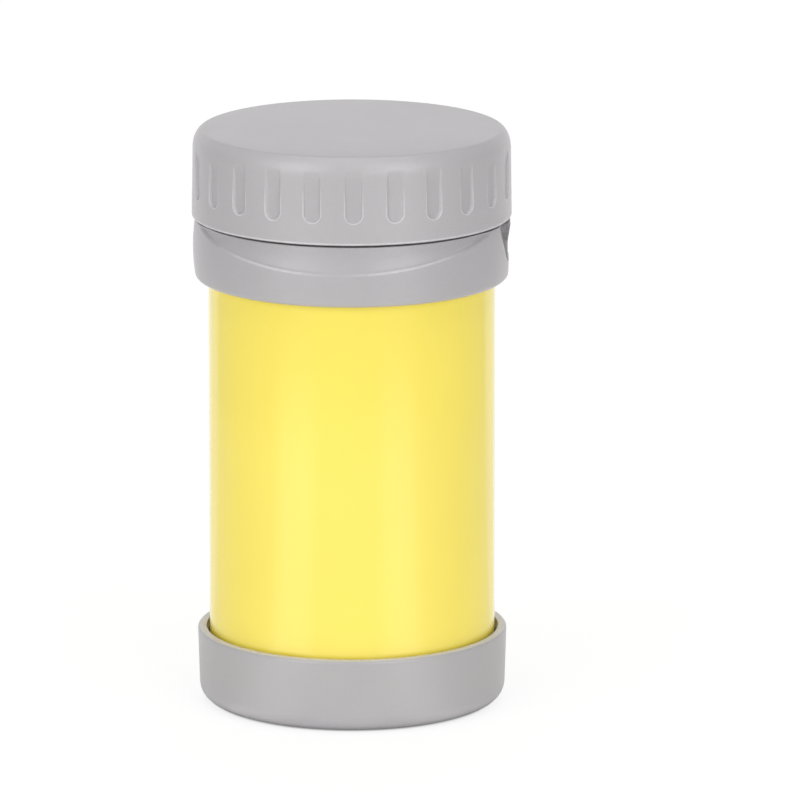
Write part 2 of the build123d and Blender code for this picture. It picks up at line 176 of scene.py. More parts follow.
class JarBaseSettings(PropertyGroup):
    taper: size("Taper", "How much narrower the foot is than the rim", 0.65)
    rim_wall: size("Rim wall", "Wall of the cup at its rim", 3.1)
    bottom_rounding: size("Bottom rounding", "Rounding of the cup's lower edge", 5.0)
    rim_rounding: size("Rim rounding", "Rounding of the rim's outer edge", 0.9)
    rim_lift: size("Rim lift", "How far the rim stands up past its solid", 0.55)
    rim_gap: size("Rim gap", "Space between the shell and the rim", 0.5)
    tint: colour("Cup plastic", "Colour of the moulded base cup", (0.430, 0.418, 0.430))
    foot_tint: colour("Foot ring", "Colour of the rubber foot ring", (0.075, 0.075, 0.078))


class JarStageSettings(PropertyGroup):
    floor_tint: colour("Floor", "Colour of the floor", (0.80, 0.80, 0.80))
    floor_glow: level("Floor glow", "How much light the floor gives off", 0.2)
    floor_fill: level("Floor fill", "How much of the shown floor no shadow reaches", 0.83)
    light_level: level("Light level", "Level of the even light round the jar", 0.2)
    key_level: level("Key level", "Strength of the two front lamps", 0.93)
    top_level: level("Top level", "Strength of the lamp above", 1.4)
    back_level: level("Back level", "Strength of the lamp at the back", 0.6)


class FoodJarSettings(PropertyGroup):
    lid: PointerProperty(type=JarLidSettings)
    collar: PointerProperty(type=JarCollarSettings)
    loop: PointerProperty(type=JarLoopSettings)
    flask: PointerProperty(type=JarFlaskSettings)
    base: PointerProperty(type=JarBaseSettings)
    stage: PointerProperty(type=JarStageSettings)


def settings_in_mm(context, part):
    """One part's settings, with lengths in millimetres and counts and colours as they are."""
    group = getattr(context.scene.food_jar, part)
    values = {}
    for key in group.__annotations__:
        value = getattr(group, key)
        if isinstance(value, float):
            value = value / MM
        elif not isinstance(value, int):
            value = tuple(value)
        values[key] = value
    return SimpleNamespace(**values)


# ---- surfaces ----
def smooth_step(x, low, high):
    """0 at low and 1 at high, with 3 t^2 - 2 t^3 between them."""
    t = np.clip((x - low) / (high - low), 0.0, 1.0)
    return t * t * (3 - 2 * t)


def band(x, low, high, blur):
    """1 between low and high and 0 outside, with a smooth step as wide as the blur at each end."""
    half = blur / 2
    return smooth_step(x, low - half, low + half) * smooth_step(x, high + half, high - half)


def smooth_min(a, b, blur):
    """The smaller of two values, with a parabola where they differ by less than the blur."""
    h = np.clip(0.5 + 0.5 * (b - a) / blur, 0.0, 1.0)
    return b + (a - b) * h - blur * h * (1 - h)


def run_between(p, q, step):
    """Points inside a straight run: evenly spaced, and one close to each end."""
    length = np.linalg.norm(q - p)
    if length < 1e-6:
        return np.empty((0, 2))
    margin = min(0.12, length / 4)
    along = np.linspace(margin, length - margin, max(2, ceil(length / step)))
    return p + (q - p) * along[:, None] / length


def outline(*corners, step=1.5, closed=False):
    """Points of a line through corners (radius, height, rounding).

    A rounding r is an arc that starts r * tan(turn / 2) before its corner. Its points are
    centre + arm * cos(t) + across * sin(t), with t from 0 to the turn.
    """
    spots = np.array([corner[:2] for corner in corners], float)
    roundings = [corner[2] if len(corner) == 3 else 0.0 for corner in corners]
    inward = spots - np.roll(spots, 1, axis=0)
    inward /= np.linalg.norm(inward, axis=1)[:, None]
    outward = np.roll(inward, -1, axis=0)
    turns = np.arctan2(
        inward[:, 0] * outward[:, 1] - inward[:, 1] * outward[:, 0], (inward * outward).sum(1)
    )
    arcs = []
    for spot, ahead, turn, rounding in zip(spots, inward, turns, roundings):
        if rounding == 0:
            arcs.append(spot[None])
            continue
        start = spot - ahead * rounding * np.tan(abs(turn) / 2)
        arm = np.sign(turn) * rounding * np.array([ahead[1], -ahead[0]])
        across = np.array([-arm[1], arm[0]])
        t = np.linspace(0, turn, max(3, ceil(abs(turn) / ARC_STEP) + 1))[:, None]
        arcs.append(start - arm + arm * np.cos(t) + across * np.sin(t))
    pieces = []
    for k, arc in enumerate(arcs):
        pieces.append(arc)
        if closed or k < len(arcs) - 1:
            pieces.append(run_between(arc[-1], arcs[(k + 1) % len(arcs)][0], step))
    return np.vstack(pieces)


def turned(line, columns=256):
    """Grid turned about Z: x = r cos(a), y = r sin(a), z = z, for each point of the line."""
    if np.isscalar(columns):
        columns = np.linspace(0, FULL_TURN, columns, endpoint=False)
    radius, height = line[:, :1], line[:, 1:]
    return np.stack(
        [radius * np.cos(columns), radius * np.sin(columns), height + 0 * columns], axis=-1
    )


def grid_faces(rows, columns, looped):
    """Quads of a grid whose columns close on themselves, and its rows too where it is looped."""
    i = np.arange(rows if looped else rows - 1)[:, None]
    j = np.arange(columns)
    next_i, next_j = (i + 1) % rows, (j + 1) % columns
    corners = [i * columns + j, i * columns + next_j, next_i * columns + next_j, next_i * columns + j]
    return np.stack(corners, axis=-1).reshape(-1, 4)


def make_piece(name, grid, looped, material, body, stands_for=None, worn=None):
    """One closed mesh from a grid of points in millimetres, whose rows close too where it is looped.

    The poles' doubled points are merged before the faces are turned outwards. The last argument gives
    each point's rubbed wear with a painted highlight, from 0 to 1, or painted shade in its recess, from 0
    to -1.
    """
    rows, columns = grid.shape[:2]
    faces = grid_faces(rows, columns, looped)
    mesh = bpy.data.meshes.new(name)
    mesh.vertices.add(rows * columns)
    mesh.vertices.foreach_set("co", (grid * MM).ravel())
    mesh.loops.add(faces.size)
    mesh.loops.foreach_set("vertex_index", faces.ravel())
    mesh.polygons.add(len(faces))
    mesh.polygons.foreach_set("loop_start", np.arange(0, faces.size, 4))
    mesh.update(calc_edges=True)
    if worn is not None:
        mesh.attributes.new("worn_edge", "FLOAT", "POINT").data.foreach_set("value", worn.ravel())
    work = bmesh.new()
    work.from_mesh(mesh)
    bmesh.ops.remove_doubles(work, verts=work.verts, dist=MERGE_DISTANCE)
    bmesh.ops.recalc_face_normals(work, faces=work.faces)
    work.to_mesh(mesh)
    work.free()
    mesh.shade_smooth()
    mesh.set_sharp_from_angle(angle=SHARP_EDGE)
    mesh.materials.append(material)
    piece = bpy.data.objects.new(name, mesh)
    bpy.context.scene.collection.objects.link(piece)
    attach(piece, body)
    if stands_for:
        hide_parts(stands_for)


# ---- threads ----
THREAD_STARTS = 3
THREAD_COLUMNS = 540
THREAD_DEPTH = 10.0           # from the shell's top down to where the neck's ridges start
NECK_RIDGE, NECK_SPAN = 1.2, radians(100)     # height of a ridge, and how far round it goes
LINER_RIDGE, LINER_SPAN = 1.1, radians(80)
LINER_TURN, LINER_DROP = radians(10), 2.0     # how far on from and below the neck's ridges they start
RIDGE_ROOT, RIDGE_CREST = 1.1, 0.5    # half widths of a ridge
RIDGE_RUN_OUT = radians(8)
# Heights across a ridge, from its middle, where the grid has a row.
RIDGE_HALF = np.array([0.25, 0.5, 0.6, 0.7, 0.8, 0.9, 1.0, 1.1, 1.35])
RIDGE_STEPS = np.concatenate([-RIDGE_HALF[::-1], [0.0], RIDGE_HALF])


def thread_rows(columns, ends, low, lead, first, span):
    """Heights of the rows of a three-start thread between two ends, and its ridges' share there.

    The rows run along the ridges. With s the angle from a ridge's start, its middle climbs as low +
    lead * s / full turn, and past its end the rows come back by a smooth step to the next start. Rows
    below and above are spread out to the ends. Across, a ridge rises by a smooth step from half its
    width at the root to half its width at the crest, and it runs out at both of its ends.
    """
    pitch = FULL_TURN / THREAD_STARTS
    s = np.mod(columns - first, pitch)
    middle = low + lead * np.minimum(s, span) / FULL_TURN * smooth_step(s, pitch, span)
    below = ends[0] + np.linspace(0, 1, 12)[:-1, None] * (middle + RIDGE_STEPS[0] - ends[0])
    above = ends[1] + np.linspace(1, 0, 9)[1:, None] * (middle + RIDGE_STEPS[-1] - ends[1])
    heights = np.vstack([below, middle + RIDGE_STEPS[:, None], above])
    along = band(s, RIDGE_RUN_OUT / 2, span - RIDGE_RUN_OUT / 2, RIDGE_RUN_OUT)
    return heights, along * smooth_step(np.abs(heights - middle), RIDGE_ROOT, RIDGE_CREST)


def threaded_grid(before, after, radius, ridge, downwards=False, **thread):
    """Grid turned from two lines, with a thread's rows between them: r = radius + ridge * share."""
    columns = np.linspace(0, FULL_TURN, THREAD_COLUMNS, endpoint=False)
    heights, share = thread_rows(columns, **thread)
    if downwards:
        heights, share = heights[::-1], share[::-1]
    run = np.column_stack([np.full(len(heights), radius), heights[:, 0]])
    grid = turned(np.vstack([before, run, after]), columns)
    rows = slice(len(before), len(before) + len(run))
    grid[rows, :, 2] = heights
    grid[rows, :, :2] *= (1 + ridge * share / radius)[..., None]
    return grid


# ---- node helpers ----
def add(tree, kind, settings=None, **inputs):
    """New shader node. An input is a plain value or another node's socket."""
    made = tree.nodes.new("ShaderNode" + kind)
    for key, value in (settings or {}).items():
        setattr(made, key, value)
    for key, value in inputs.items():
        plug(tree, made.inputs[key.replace("_", " ")], value)
    return made


def plug(tree, socket, value):
    if isinstance(value, NodeSocket):
        tree.links.new(value, socket)
    else:
        socket.default_value = value


def add_in_order(tree, kind, settings, *values):
    """First output of a new node whose inputs get the values in order."""
    made = add(tree, kind, settings)
    for socket, value in zip(made.inputs, values):
        plug(tree, socket, value)
    return made.outputs[0]


def maths(tree, operation, *values):
    """Result of a Math node on values or sockets."""
    return add_in_order(tree, "Math", {"operation": operation}, *values)


def remap(tree, value, low, high, to_low=0.0, to_high=1.0):
    """Smooth step of a value from low..high to another range."""
    smooth = {"interpolation_type": "SMOOTHSTEP"}
    return add_in_order(tree, "MapRange", smooth, value, low, high, to_low, to_high)


def noise(tree, place, scale, detail=2.0, roughness=0.5):
    """Height of a soft noise, from 0 to 1."""
    made = add(tree, "TexNoise", Vector=place, Scale=scale, Detail=detail, Roughness=roughness)
    return made.outputs[0]


def tinted(tree, tint, shade):
    """A colour times a shade."""
    scaled = add(tree, "VectorMath", {"operation": "SCALE"}, Scale=shade)
    plug(tree, scaled.inputs[0], tint)
    return scaled.outputs[0]


def blend_values(tree, share, first, second):
    return add(tree, "Mix", Factor=share, A=first, B=second).outputs[0]


def blend_colours(tree, share, first, second):
    made = add(tree, "Mix", {"data_type": "RGBA"})
    for index, value in ((0, share), (6, first), (7, second)):
        plug(tree, made.inputs[index], value)
    return made.outputs[2]


# ---- node groups ----
def new_group(name, numbers, outputs):
    """Empty shader node group with its inner sockets. It takes a vector, and numbers with defaults."""
    tree = bpy.data.node_groups.new(name, "ShaderNodeTree")
    new_socket = tree.interface.new_socket
    new_socket(name="Vector", in_out="INPUT", socket_type="NodeSocketVector")
    for label, value in numbers.items():
        socket = new_socket(name=label, in_out="INPUT", socket_type="NodeSocketFloat")
        socket.default_value = value
    for label in outputs:
        new_socket(name=label, in_out="OUTPUT", socket_type="NodeSocketFloat")
    return tree, tree.nodes.new("NodeGroupInput").outputs, tree.nodes.new("NodeGroupOutput").inputs


def spark_grain_group(name):
    """Fine pitted texture that a spark-eroded mould leaves, with the plastic's slow mottling."""
    tree, given, result = new_group(
        name, {"Grains per Metre": 3200.0, "Mottling": 0.02}, ["Height", "Shade", "Gloss"]
    )
    place, grains = given["Vector"], given["Grains per Metre"]
    pits = add(tree, "TexVoronoi", Vector=place, Scale=grains).outputs[0]
    height = maths(tree, "MULTIPLY_ADD", pits, 0.5, noise(tree, place, grains, 2.0, 0.6))
    plug(tree, result["Height"], height)
    slow = noise(tree, place, 45.0, 3.0, 0.55)
    speck = noise(tree, place, 1100.0, 1.0)
    off = maths(tree, "SUBTRACT", maths(tree, "ADD", slow, speck), 1.0)
    plug(tree, result["Shade"], maths(tree, "MULTIPLY_ADD", off, given["Mottling"], 1.0))
    plug(tree, result["Gloss"], remap(tree, slow, 0.3, 0.7))
    return tree


def handling_group(name):
    """Faint smudges, and hairlines that run round the jar."""
    tree, given, result = new_group(name, {}, ["Smudge", "Hairline"])
    cloud = noise(tree, given["Vector"], 38.0, 4.0, 0.6)
    plug(tree, result["Smudge"], remap(tree, cloud, 0.5, 0.75))
    stretched = add(tree, "Mapping", Vector=given["Vector"], Scale=(25.0, 25.0, 2600.0))
    lines = noise(tree, stretched.outputs[0], 1.0, 1.0)
    plug(tree, result["Hairline"], remap(tree, lines, 0.70, 0.78))
    return tree


def tool_lines_group(name):
    """Fine lines of a turned or polished sheet. They follow radius + 0.8 * height."""
    tree, given, result = new_group(name, {"Lines per Metre": 1600.0}, ["Height", "Shade", "Gloss"])
    x, y, z = add(tree, "SeparateXYZ", Vector=given["Vector"]).outputs
    squares = maths(tree, "MULTIPLY_ADD", x, x, maths(tree, "MULTIPLY", y, y))
    across = maths(tree, "MULTIPLY_ADD", z, 0.8, maths(tree, "SQRT", squares))
    drift = noise(tree, given["Vector"], 60.0)
    across = maths(tree, "MULTIPLY_ADD", drift, 0.0003, across)
    place = maths(tree, "MULTIPLY", across, given["Lines per Metre"])
    one_way = {"noise_dimensions": "1D"}
    fine = add(tree, "TexNoise", one_way, W=place, Scale=1.0, Detail=1.0, Roughness=0.5).outputs[0]
    plug(tree, result["Height"], fine)
    plug(tree, result["Shade"], remap(tree, fine, 0.2, 0.8, 0.94, 1.04))
    plug(tree, result["Gloss"], remap(tree, drift, 0.35, 0.65))
    return tree


def wear_and_painted_light_group(name):
    """Rubbed wear with a painted highlight on edges, where the edge value is above 0, and painted shade in
    recesses, where it is below 0.
    """
    tree, given, result = new_group(name, {"Edge": 0.0}, ["Rubbed", "Dust"])
    share = remap(tree, noise(tree, given["Vector"], 700.0), 0.3, 0.6, 0.65, 1.0)
    mask = maths(tree, "MULTIPLY", share, given["Edge"])
    plug(tree, result["Rubbed"], maths(tree, "MAXIMUM", mask, 0.0))
    plug(tree, result["Dust"], maths(tree, "MAXIMUM", maths(tree, "MULTIPLY", mask, -1.0), 0.0))
    return tree


def orange_peel_group(name):
    """Long low ripples of a sprayed and baked lacquer."""
    tree, given, result = new_group(name, {"Ripples per Metre": 420.0}, ["Height", "Shade"])
    place = given["Vector"]
    plug(tree, result["Height"], noise(tree, place, given["Ripples per Metre"], 1.5, 0.4))
    plug(tree, result["Shade"], remap(tree, noise(tree, place, 24.0), 0.3, 0.7, 0.985, 1.01))
    return tree


GROUPS = {
    "Spark grain": spark_grain_group,
    "Handling marks": handling_group,
    "Tool lines": tool_lines_group,
    "Worn edge": wear_and_painted_light_group,
    "Orange peel": orange_peel_group,
}


def use_group(tree, name, place, **numbers):
    """Outputs of a group's node in a material, with the group made at its first use."""
    made = tree.nodes.new("ShaderNodeGroup")
    made.node_tree = bpy.data.node_groups.get(name) or GROUPS[name](name)
    plug(tree, made.inputs["Vector"], place)
    for key, value in numbers.items():
        plug(tree, made.inputs[key.replace("_", " ")], value)
    return made.outputs


# ---- finishes ----
# Tones of rubbed edges with their painted highlight, and of the painted shade in recesses.
RUBBED_AND_LIT_TONE, RECESS_SHADE_TONE = 1.42, 0.45


def new_material(name):
    """Empty material, its Principled shader and the object's own coordinates."""
    material = bpy.data.materials.new(name)
    material.use_nodes = True
    tree = material.node_tree
    tree.nodes.clear()
    shader = add(tree, "BsdfPrincipled")
    add(tree, "OutputMaterial", Surface=shader.outputs[0])
    return material, tree, shader, add(tree, "TexCoord").outputs["Object"]


def dress(tree, shader, skin, roughness, height, depth, **values):
    """Plug in a finish's colour, roughness and relief, its depth in metres, and set its even values."""
    plug(tree, shader.inputs["Base Color"], skin)
    plug(tree, shader.inputs["Roughness"], roughness)
    for key, value in values.items():
        shader.inputs[key.replace("_", " ")].default_value = value
    relief = add(tree, "Bump", Strength=1.0, Distance=depth, Height=height)
    tree.links.new(relief.outputs[0], shader.inputs["Normal"])


def moulded_finish(name, tint, roughness=0.32, depth=1.2e-5, mottling=0.05):
    """Satin injection-moulded plastic with a spark-eroded texture, lighter at rubbed edges with a painted
    highlight, and darker with painted shade in recesses.
    """
    material, tree, shader, place = new_material(name)
    grain = use_group(tree, "Spark grain", place, Grains_per_Metre=2100.0, Mottling=mottling)
    marks = use_group(tree, "Handling marks", place)
    edge = add(tree, "Attribute", {"attribute_name": "worn_edge"}).outputs["Fac"]
    worn = use_group(tree, "Worn edge", place, Edge=edge)
    rubbed_and_lit = tuple(min(1.0, RUBBED_AND_LIT_TONE * part) for part in tint) + (1.0,)
    recess_shade = tuple(RECESS_SHADE_TONE * part for part in tint) + (1.0,)
    skin = blend_colours(tree, worn["Rubbed"], tinted(tree, tint, grain["Shade"]), rubbed_and_lit)
    skin = blend_colours(tree, worn["Dust"], skin, recess_shade)
    rough = maths(tree, "MULTIPLY_ADD", grain["Gloss"], 0.04, roughness)
    rough = maths(tree, "MULTIPLY_ADD", marks["Smudge"], -0.04, rough)
    dress(tree, shader, skin, rough, grain["Height"], depth, IOR=1.49)
    return material


def lacquered_finish(name, lacquer, steel, edge_height):
    """Glossy lacquer up to a height in metres, and bare polished steel above it."""
    material, tree, shader, place = new_material(name)
    peel = use_group(tree, "Orange peel", place)
    lines = use_group(tree, "Tool lines", place, Lines_per_Metre=1900.0)
    marks = use_group(tree, "Handling marks", place)
    height = add(tree, "SeparateXYZ", Vector=place).outputs[2]
    bare = remap(tree, height, edge_height - 0.0001, edge_height + 0.0001)
    painted, metal = tinted(tree, lacquer, peel["Shade"]), tinted(tree, steel, lines["Shade"])
    plug(tree, shader.inputs["Metallic"], bare)
    gloss = maths(tree, "MULTIPLY_ADD", marks["Smudge"], 0.03, 0.07)
    gloss = maths(tree, "MULTIPLY_ADD", marks["Hairline"], 0.08, gloss)
    satin = maths(tree, "MULTIPLY_ADD", lines["Gloss"], 0.08, 0.285)
    rough = blend_values(tree, bare, gloss, satin)
    relief = blend_values(tree, bare, peel["Height"], lines["Height"])
    dress(tree, shader, blend_colours(tree, bare, painted, metal), rough, relief, 1.6e-6, IOR=1.5)
    return material


def steel_finish(name, steel, roughness=0.29, lines_per_metre=1600.0):
    """Turned and polished stainless steel."""
    material, tree, shader, place = new_material(name)
    lines = use_group(tree, "Tool lines", place, Lines_per_Metre=lines_per_metre)
    marks = use_group(tree, "Handling marks", place)
    rough = maths(tree, "MULTIPLY_ADD", lines["Gloss"], 0.07, roughness)
    rough = maths(tree, "MULTIPLY_ADD", marks["Smudge"], 0.06, rough)
    metal = tinted(tree, steel, lines["Shade"])
    dress(tree, shader, metal, rough, lines["Height"], 2.5e-6, Metallic=1.0)
    return material


def rubber_finish(name, tint, roughness, subsurface=0.0):
    """Rubber or silicone, with a fine bloom on its skin."""
    material, tree, shader, place = new_material(name)
    grain = use_group(tree, "Spark grain", place, Grains_per_Metre=1500.0, Mottling=0.10)
    marks = use_group(tree, "Handling marks", place)
    rough = maths(tree, "MULTIPLY_ADD", marks["Smudge"], -0.08, roughness)
    dress(tree, shader, tinted(tree, tint, grain["Shade"]), rough, grain["Height"], 6e-6, IOR=1.41)
    shader.inputs["Subsurface Weight"].default_value = subsurface
    shader.inputs["Subsurface Radius"].default_value = (0.002, 0.002, 0.002)
    return material


def foam_finish(name, tint):
    """Closed-cell foam with a skin of small round cells."""
    material, tree, shader, place = new_material(name)
    cells = add(tree, "TexVoronoi", Vector=place, Scale=900.0).outputs[0]
    grain = use_group(tree, "Spark grain", place, Grains_per_Metre=1800.0, Mottling=0.12)
    rough = remap(tree, cells, 0.0, 0.6, 0.95, 0.8)
    dress(tree, shader, tinted(tree, tint, grain["Shade"]), rough, cells, 8e-5)
    return material


def foil_finish(name, tint):
    """Thin metal foil with soft creases."""
    material, tree, shader, place = new_material(name)
    crease = add(tree, "TexVoronoi", {"feature": "SMOOTH_F1"}, Vector=place, Scale=160.0).outputs[0]
    lines = use_group(tree, "Tool lines", place, Lines_per_Metre=1500.0)
    rough = remap(tree, crease, 0.0, 0.8, 0.28, 0.4)
    dress(tree, shader, tinted(tree, tint, lines["Shade"]), rough, crease, 1.5e-4, Metallic=1.0)
    return material


# ---- lid ----
LINER_SKIRT, LINER_FLANGE = 1.6, 1.8      # walls of the liner's skirt, flange and plug
PLUG_DEPTH, PLUG_SPACE, PLUG_LEDGE = 10.4, 1.3, 0.8
FLUTE_PHASE = radians(1.0) - pi / 2       # a flute's middle, one degree to the right of the front


def cap_line(s):
    """Half section of the cap, from the crown's middle over the outside and back inside.

    The crown is z = top + crown * (1 - (r / flat)^2), and the round-over a quarter ellipse.
    """
    radius, top = CAP_HIGH[0] - s.draft, CAP_HIGH[2] - s.crown
    flat = radius - s.round_over_width
    side_top = top - s.round_over_height
    across = flat * np.linspace(0, 1, 7)[:-1]
    crown = np.column_stack([across, top + s.crown * (1 - (across / flat) ** 2)])
    t = np.linspace(pi / 2, 0, 15)
    over_r, over_z = s.round_over_width * np.cos(t), s.round_over_height * np.sin(t)
    over = np.column_stack([flat + over_r, side_top + over_z])
    bottom, end = CAP_LOW[2] + s.low_gap, flute_end(s)
    heights = np.concatenate(
        [
            np.linspace(side_top, end, 9)[1:-1],
            end - flute_steps(s),
            np.linspace(end - s.flute_width / 2 - 0.8 * s.flute_edge, bottom + 1.1, 6),
            bottom + np.array([0.9, 0.75, 0.6, 0.5]),
        ]
    )
    side = np.column_stack([cap_radius(s, heights), heights])
    inside = outline(
        side[-1], (radius + s.draft, bottom, s.low_rounding), (radius - s.wall, bottom, 0.3),
        (radius - s.wall, top - s.roof, 1.5), (0, top - s.roof), step=12.0,
    )
    return np.vstack([crown, over, side, inside[1:]])


def flute_end(s):
    """Height of the middle of a flute's round lower end."""
    return CAP_LOW[2] + s.flute_rise + s.flute_width / 2


def cap_radius(s, height):
    """Radius of the skirt between its flutes: it widens downwards in a straight line."""
    side_top = CAP_HIGH[2] - s.crown - s.round_over_height
    share = (side_top - height) / (side_top - CAP_LOW[2] - s.low_gap - s.low_rounding)
    return CAP_HIGH[0] - s.draft + s.draft * share


def flute_steps(s):
    """Distances from a flute's middle where the grid has points, close together at its edge."""
    near, far = s.flute_width / 2 - 0.9 * s.flute_edge, s.flute_width / 2 + 0.8 * s.flute_edge
    return np.concatenate([np.linspace(0, near, 6)[:-1], np.linspace(near, far, 11)[:-1]])


def flute_columns(s):
    """Angles of the grid's columns: close together at the flutes' edges and wider elsewhere."""
    pitch = FULL_TURN / s.flute_count
    land = pitch * CAP_HIGH[0] / 2
    between = np.linspace(s.flute_width / 2 + 0.8 * s.flute_edge, land, 5)[:-1]
    right = np.concatenate([flute_steps(s), between])
    one = np.concatenate([-right[:0:-1], right, [land]]) / CAP_HIGH[0]
    return (FLUTE_PHASE + pitch * np.arange(s.flute_count)[:, None] + one).ravel()


def lid_cap_grid(s):
    """The cap's turned grid with its flutes pressed in, and each point's edge wear with painted highlight,
    or painted shade on the flutes' floors.

    Round a flute's lower end the grid's squares are drawn into circles: a point (a, b) off the end's
    middle is scaled by max(|a|, |b|) / sqrt(a^2 + b^2). With d the distance to the flute's upright
    line, less half its width, the surface is drawn in to a flat floor, r = floor / cos(angle off the
    flute's middle), by a share that goes smoothly from 0 to 1 across the flute's edge. The smaller of
    the floor and the round-over, blended by a parabola, and a smooth step in height end it at the top.
    """
    columns, line = flute_columns(s), cap_line(s)
    radius, height = (line[:, k, None] + 0 * columns for k in (0, 1))
    pitch = FULL_TURN / s.flute_count
    off = np.mod(columns - FLUTE_PHASE + pitch / 2, pitch) - pitch / 2
    middle = columns - off
    end, half, edge = flute_end(s), s.flute_width / 2, s.flute_edge
    outside = np.arange(len(line))[:, None] < np.argmin(line[:, 1])
    across, below = off * CAP_HIGH[0] + 0 * height, np.minimum(height - end, 0)
    square, round_off = np.maximum(np.abs(across), -below), np.hypot(across, below)
    share = outside * smooth_step(square, half + 1.2, half + 0.6)
    pull = 1 + share * (square / np.maximum(round_off, 1e-9) - 1)
    across, height = across * pull, height + below * (pull - 1)
    radius = np.where((share > 0) & (height < end), cap_radius(s, height), radius)
    off = across / CAP_HIGH[0]
    distance = np.hypot(across, np.minimum(height - end, 0)) - half
    inside = smooth_step(distance, 0.2 * edge, -0.8 * edge)
    floor = (CAP_HIGH[0] - s.draft - s.flute_depth) / np.cos(off)
    flute_top = CAP_HIGH[2] - s.flute_top
    run_out = smooth_step(height, flute_top, flute_top - s.flute_run)
    reach = outside * (height > end - half - 1) * run_out
    depth = reach * (radius - smooth_min(radius, floor, 0.6))
    # Painted highlight, with some rubbed wear: a light line along each flute's edge, and painted light on
    # its step that lifts the step's shade.
    rubbed_and_lit = 0.9 * smooth_step(height, end + 9, end + 1) * band(distance, 0.0, 0.3, 0.12)
    rubbed_and_lit = rubbed_and_lit + 0.2 * band(distance, -0.4, 0.0, 0.1)
    # Painted shade on the flutes' floors.
    recess_shade = 0.06 * smooth_step(distance, -0.4, -0.6)
    worn = (rubbed_and_lit - recess_shade) * np.clip(depth / s.flute_depth, 0, 1)
    bottom = CAP_LOW[2] + s.low_gap
    # Painted highlight: the light line along the skirt's rounded lower edge.
    worn = worn + outside * band(height, bottom + 0.3, bottom + 0.7, 0.16)
    radius, angle = radius - inside * depth, middle + off
    return np.stack([radius * np.cos(angle), radius * np.sin(angle), height], axis=-1), worn


def liner_grid(flask):
    """The liner's turned grid, with the thread's ridges drawn inwards from its skirt."""
    neck = SHELL_HIGH[0] - flask.shoulder_width
    mouth = neck - flask.shell_wall - flask.neck_space - flask.vessel_wall
    plug_radius = mouth - PLUG_SPACE
    ledge_radius, plug_bore = plug_radius + PLUG_LEDGE, plug_radius - LINER_SKIRT
    skirt, bottom, top = LINER_HIGH[0] - LINER_SKIRT, LINER_LOW[2], LINER_HIGH[2]
    flange = top - LINER_FLANGE
    plug_bottom, ledge = VESSEL_HIGH[2] - PLUG_DEPTH, VESSEL_HIGH[2] - 1.1
    before = outline(
        (0, plug_bottom), (plug_radius, plug_bottom, 1.5), (plug_radius, ledge - 1.8, 0.15),
        (ledge_radius, ledge - 1.0, 0.15), (ledge_radius, ledge, 0.15), (plug_radius, ledge),
        (plug_radius, flange), (skirt, flange, 0.4), (skirt, flange - 0.5), step=3.0,
    )
    after = outline(
        (skirt, bottom + 0.4), (skirt, bottom, 0.25), (LINER_HIGH[0], bottom, 0.25),
        (LINER_HIGH[0], top), (plug_bore, top), (plug_bore, plug_bottom + LINER_SKIRT, 0.8),
        (0, plug_bottom + LINER_SKIRT), step=6.0,
    )
    low = SHELL_HIGH[2] - THREAD_DEPTH + flask.thread_lead * LINER_TURN / FULL_TURN - LINER_DROP
    return threaded_grid(
        before, after, skirt, ridge=-LINER_RIDGE, downwards=True, ends=(bottom + 0.5, flange - 0.6),
        low=low, lead=flask.thread_lead, first=LINER_TURN, span=LINER_SPAN,
    )


def seal_line():
    """Section of the flat seal with its sleeve and two pressing lips, as a closed line."""
    inner, outer = SEAL_HIGH[0] - 2.8, SEAL_HIGH[0]
    low, top = SEAL_LOW[2], SEAL_HIGH[2]
    face = low + 0.6
    return outline(
        (inner, low, 0.15), (inner + 0.6, low, 0.2), (inner + 0.6, face, 0.15),
        (inner + 1.3, face, 0.1), (inner + 1.5, face + 0.15, 0.1), (inner + 1.9, face + 0.15, 0.1),
        (inner + 2.1, face, 0.1), (outer, face, 0.3), (outer, top, 0.3), (inner, top, 0.2), step=1.0,
        closed=True,
    )


# ---- collar ----
CUP_BORE = SHELL_HIGH[0] + SHELL_FIT      # bore of the collar's lower end and of the base cup
NECK_BORE = SHELL_HIGH[0] - SHOULDER_WIDTH + SHELL_FIT
WELL_X = NECK_BORE + 2.2                  # floor of the finger well behind the loop
HEADER_Z = COLLAR_HIGH[2] - 1.4           # lower edge of the bar above the loop
HINGE_X, HINGE_Z = (PIN_LOW[0] + PIN_HIGH[0]) / 2, (PIN_LOW[2] + PIN_HIGH[2]) / 2
EAR_Z = HINGE_Z - 2.0                     # lower end of the ears that hold the pin
EAR_GAP = LOOP_HIGH[1] + 0.3
EAR_HALF = EAR_GAP + 2.5
# Section of the scoop's ledge: share of the scoop's depth still left, and height above the ledge.
LEDGE_STEPS = np.array(
    [
        [0.985, 0.94, 0.87, 0.77, 0.64, 0.52, 0.42, 0.3, 0.24, 0.235, 0.26, 0.25, 0.19, 0.11, 0.04, 0],
        [-0.12, 0, 0.12, 0.25, 0.4, 0.55, 0.67, 0.77, 0.86, 0.96, 1.08, 1.25, 1.65, 2.3, 3.1, 3.9],
    ]
)
SCOOP_FADE = 1.9, 0.5         # heights of the wall between which the scoop's depth fades out
LEAST_DROP = 0.8              # the ledge's rows stay this far under the collar's top
LEDGE_INSET = 0.22            # the rows below the ledge end this far under it
LEDGE_CREST = 0.8             # the part of the ledge that is as high all along it
RIM_ROUNDING = 0.14
# Distances from a wall of the pocket where the grid has a row or a column.
WALL_STEPS = np.array([-0.30, -0.14, -0.08, -0.03, 0.03, 0.08, 0.14, 0.30])
FACE_CUT, FACE_HALF = 0.55, 20.0          # the side's flat: how deep it is cut, and its reach in Y
EAR_CUT, EAR_LEAN = 1.0, 0.16             # the bar and the ears: how far in, and how they lean out
KEEP_Y = radians(36), radians(25)         # columns keep their Y inside the second angle


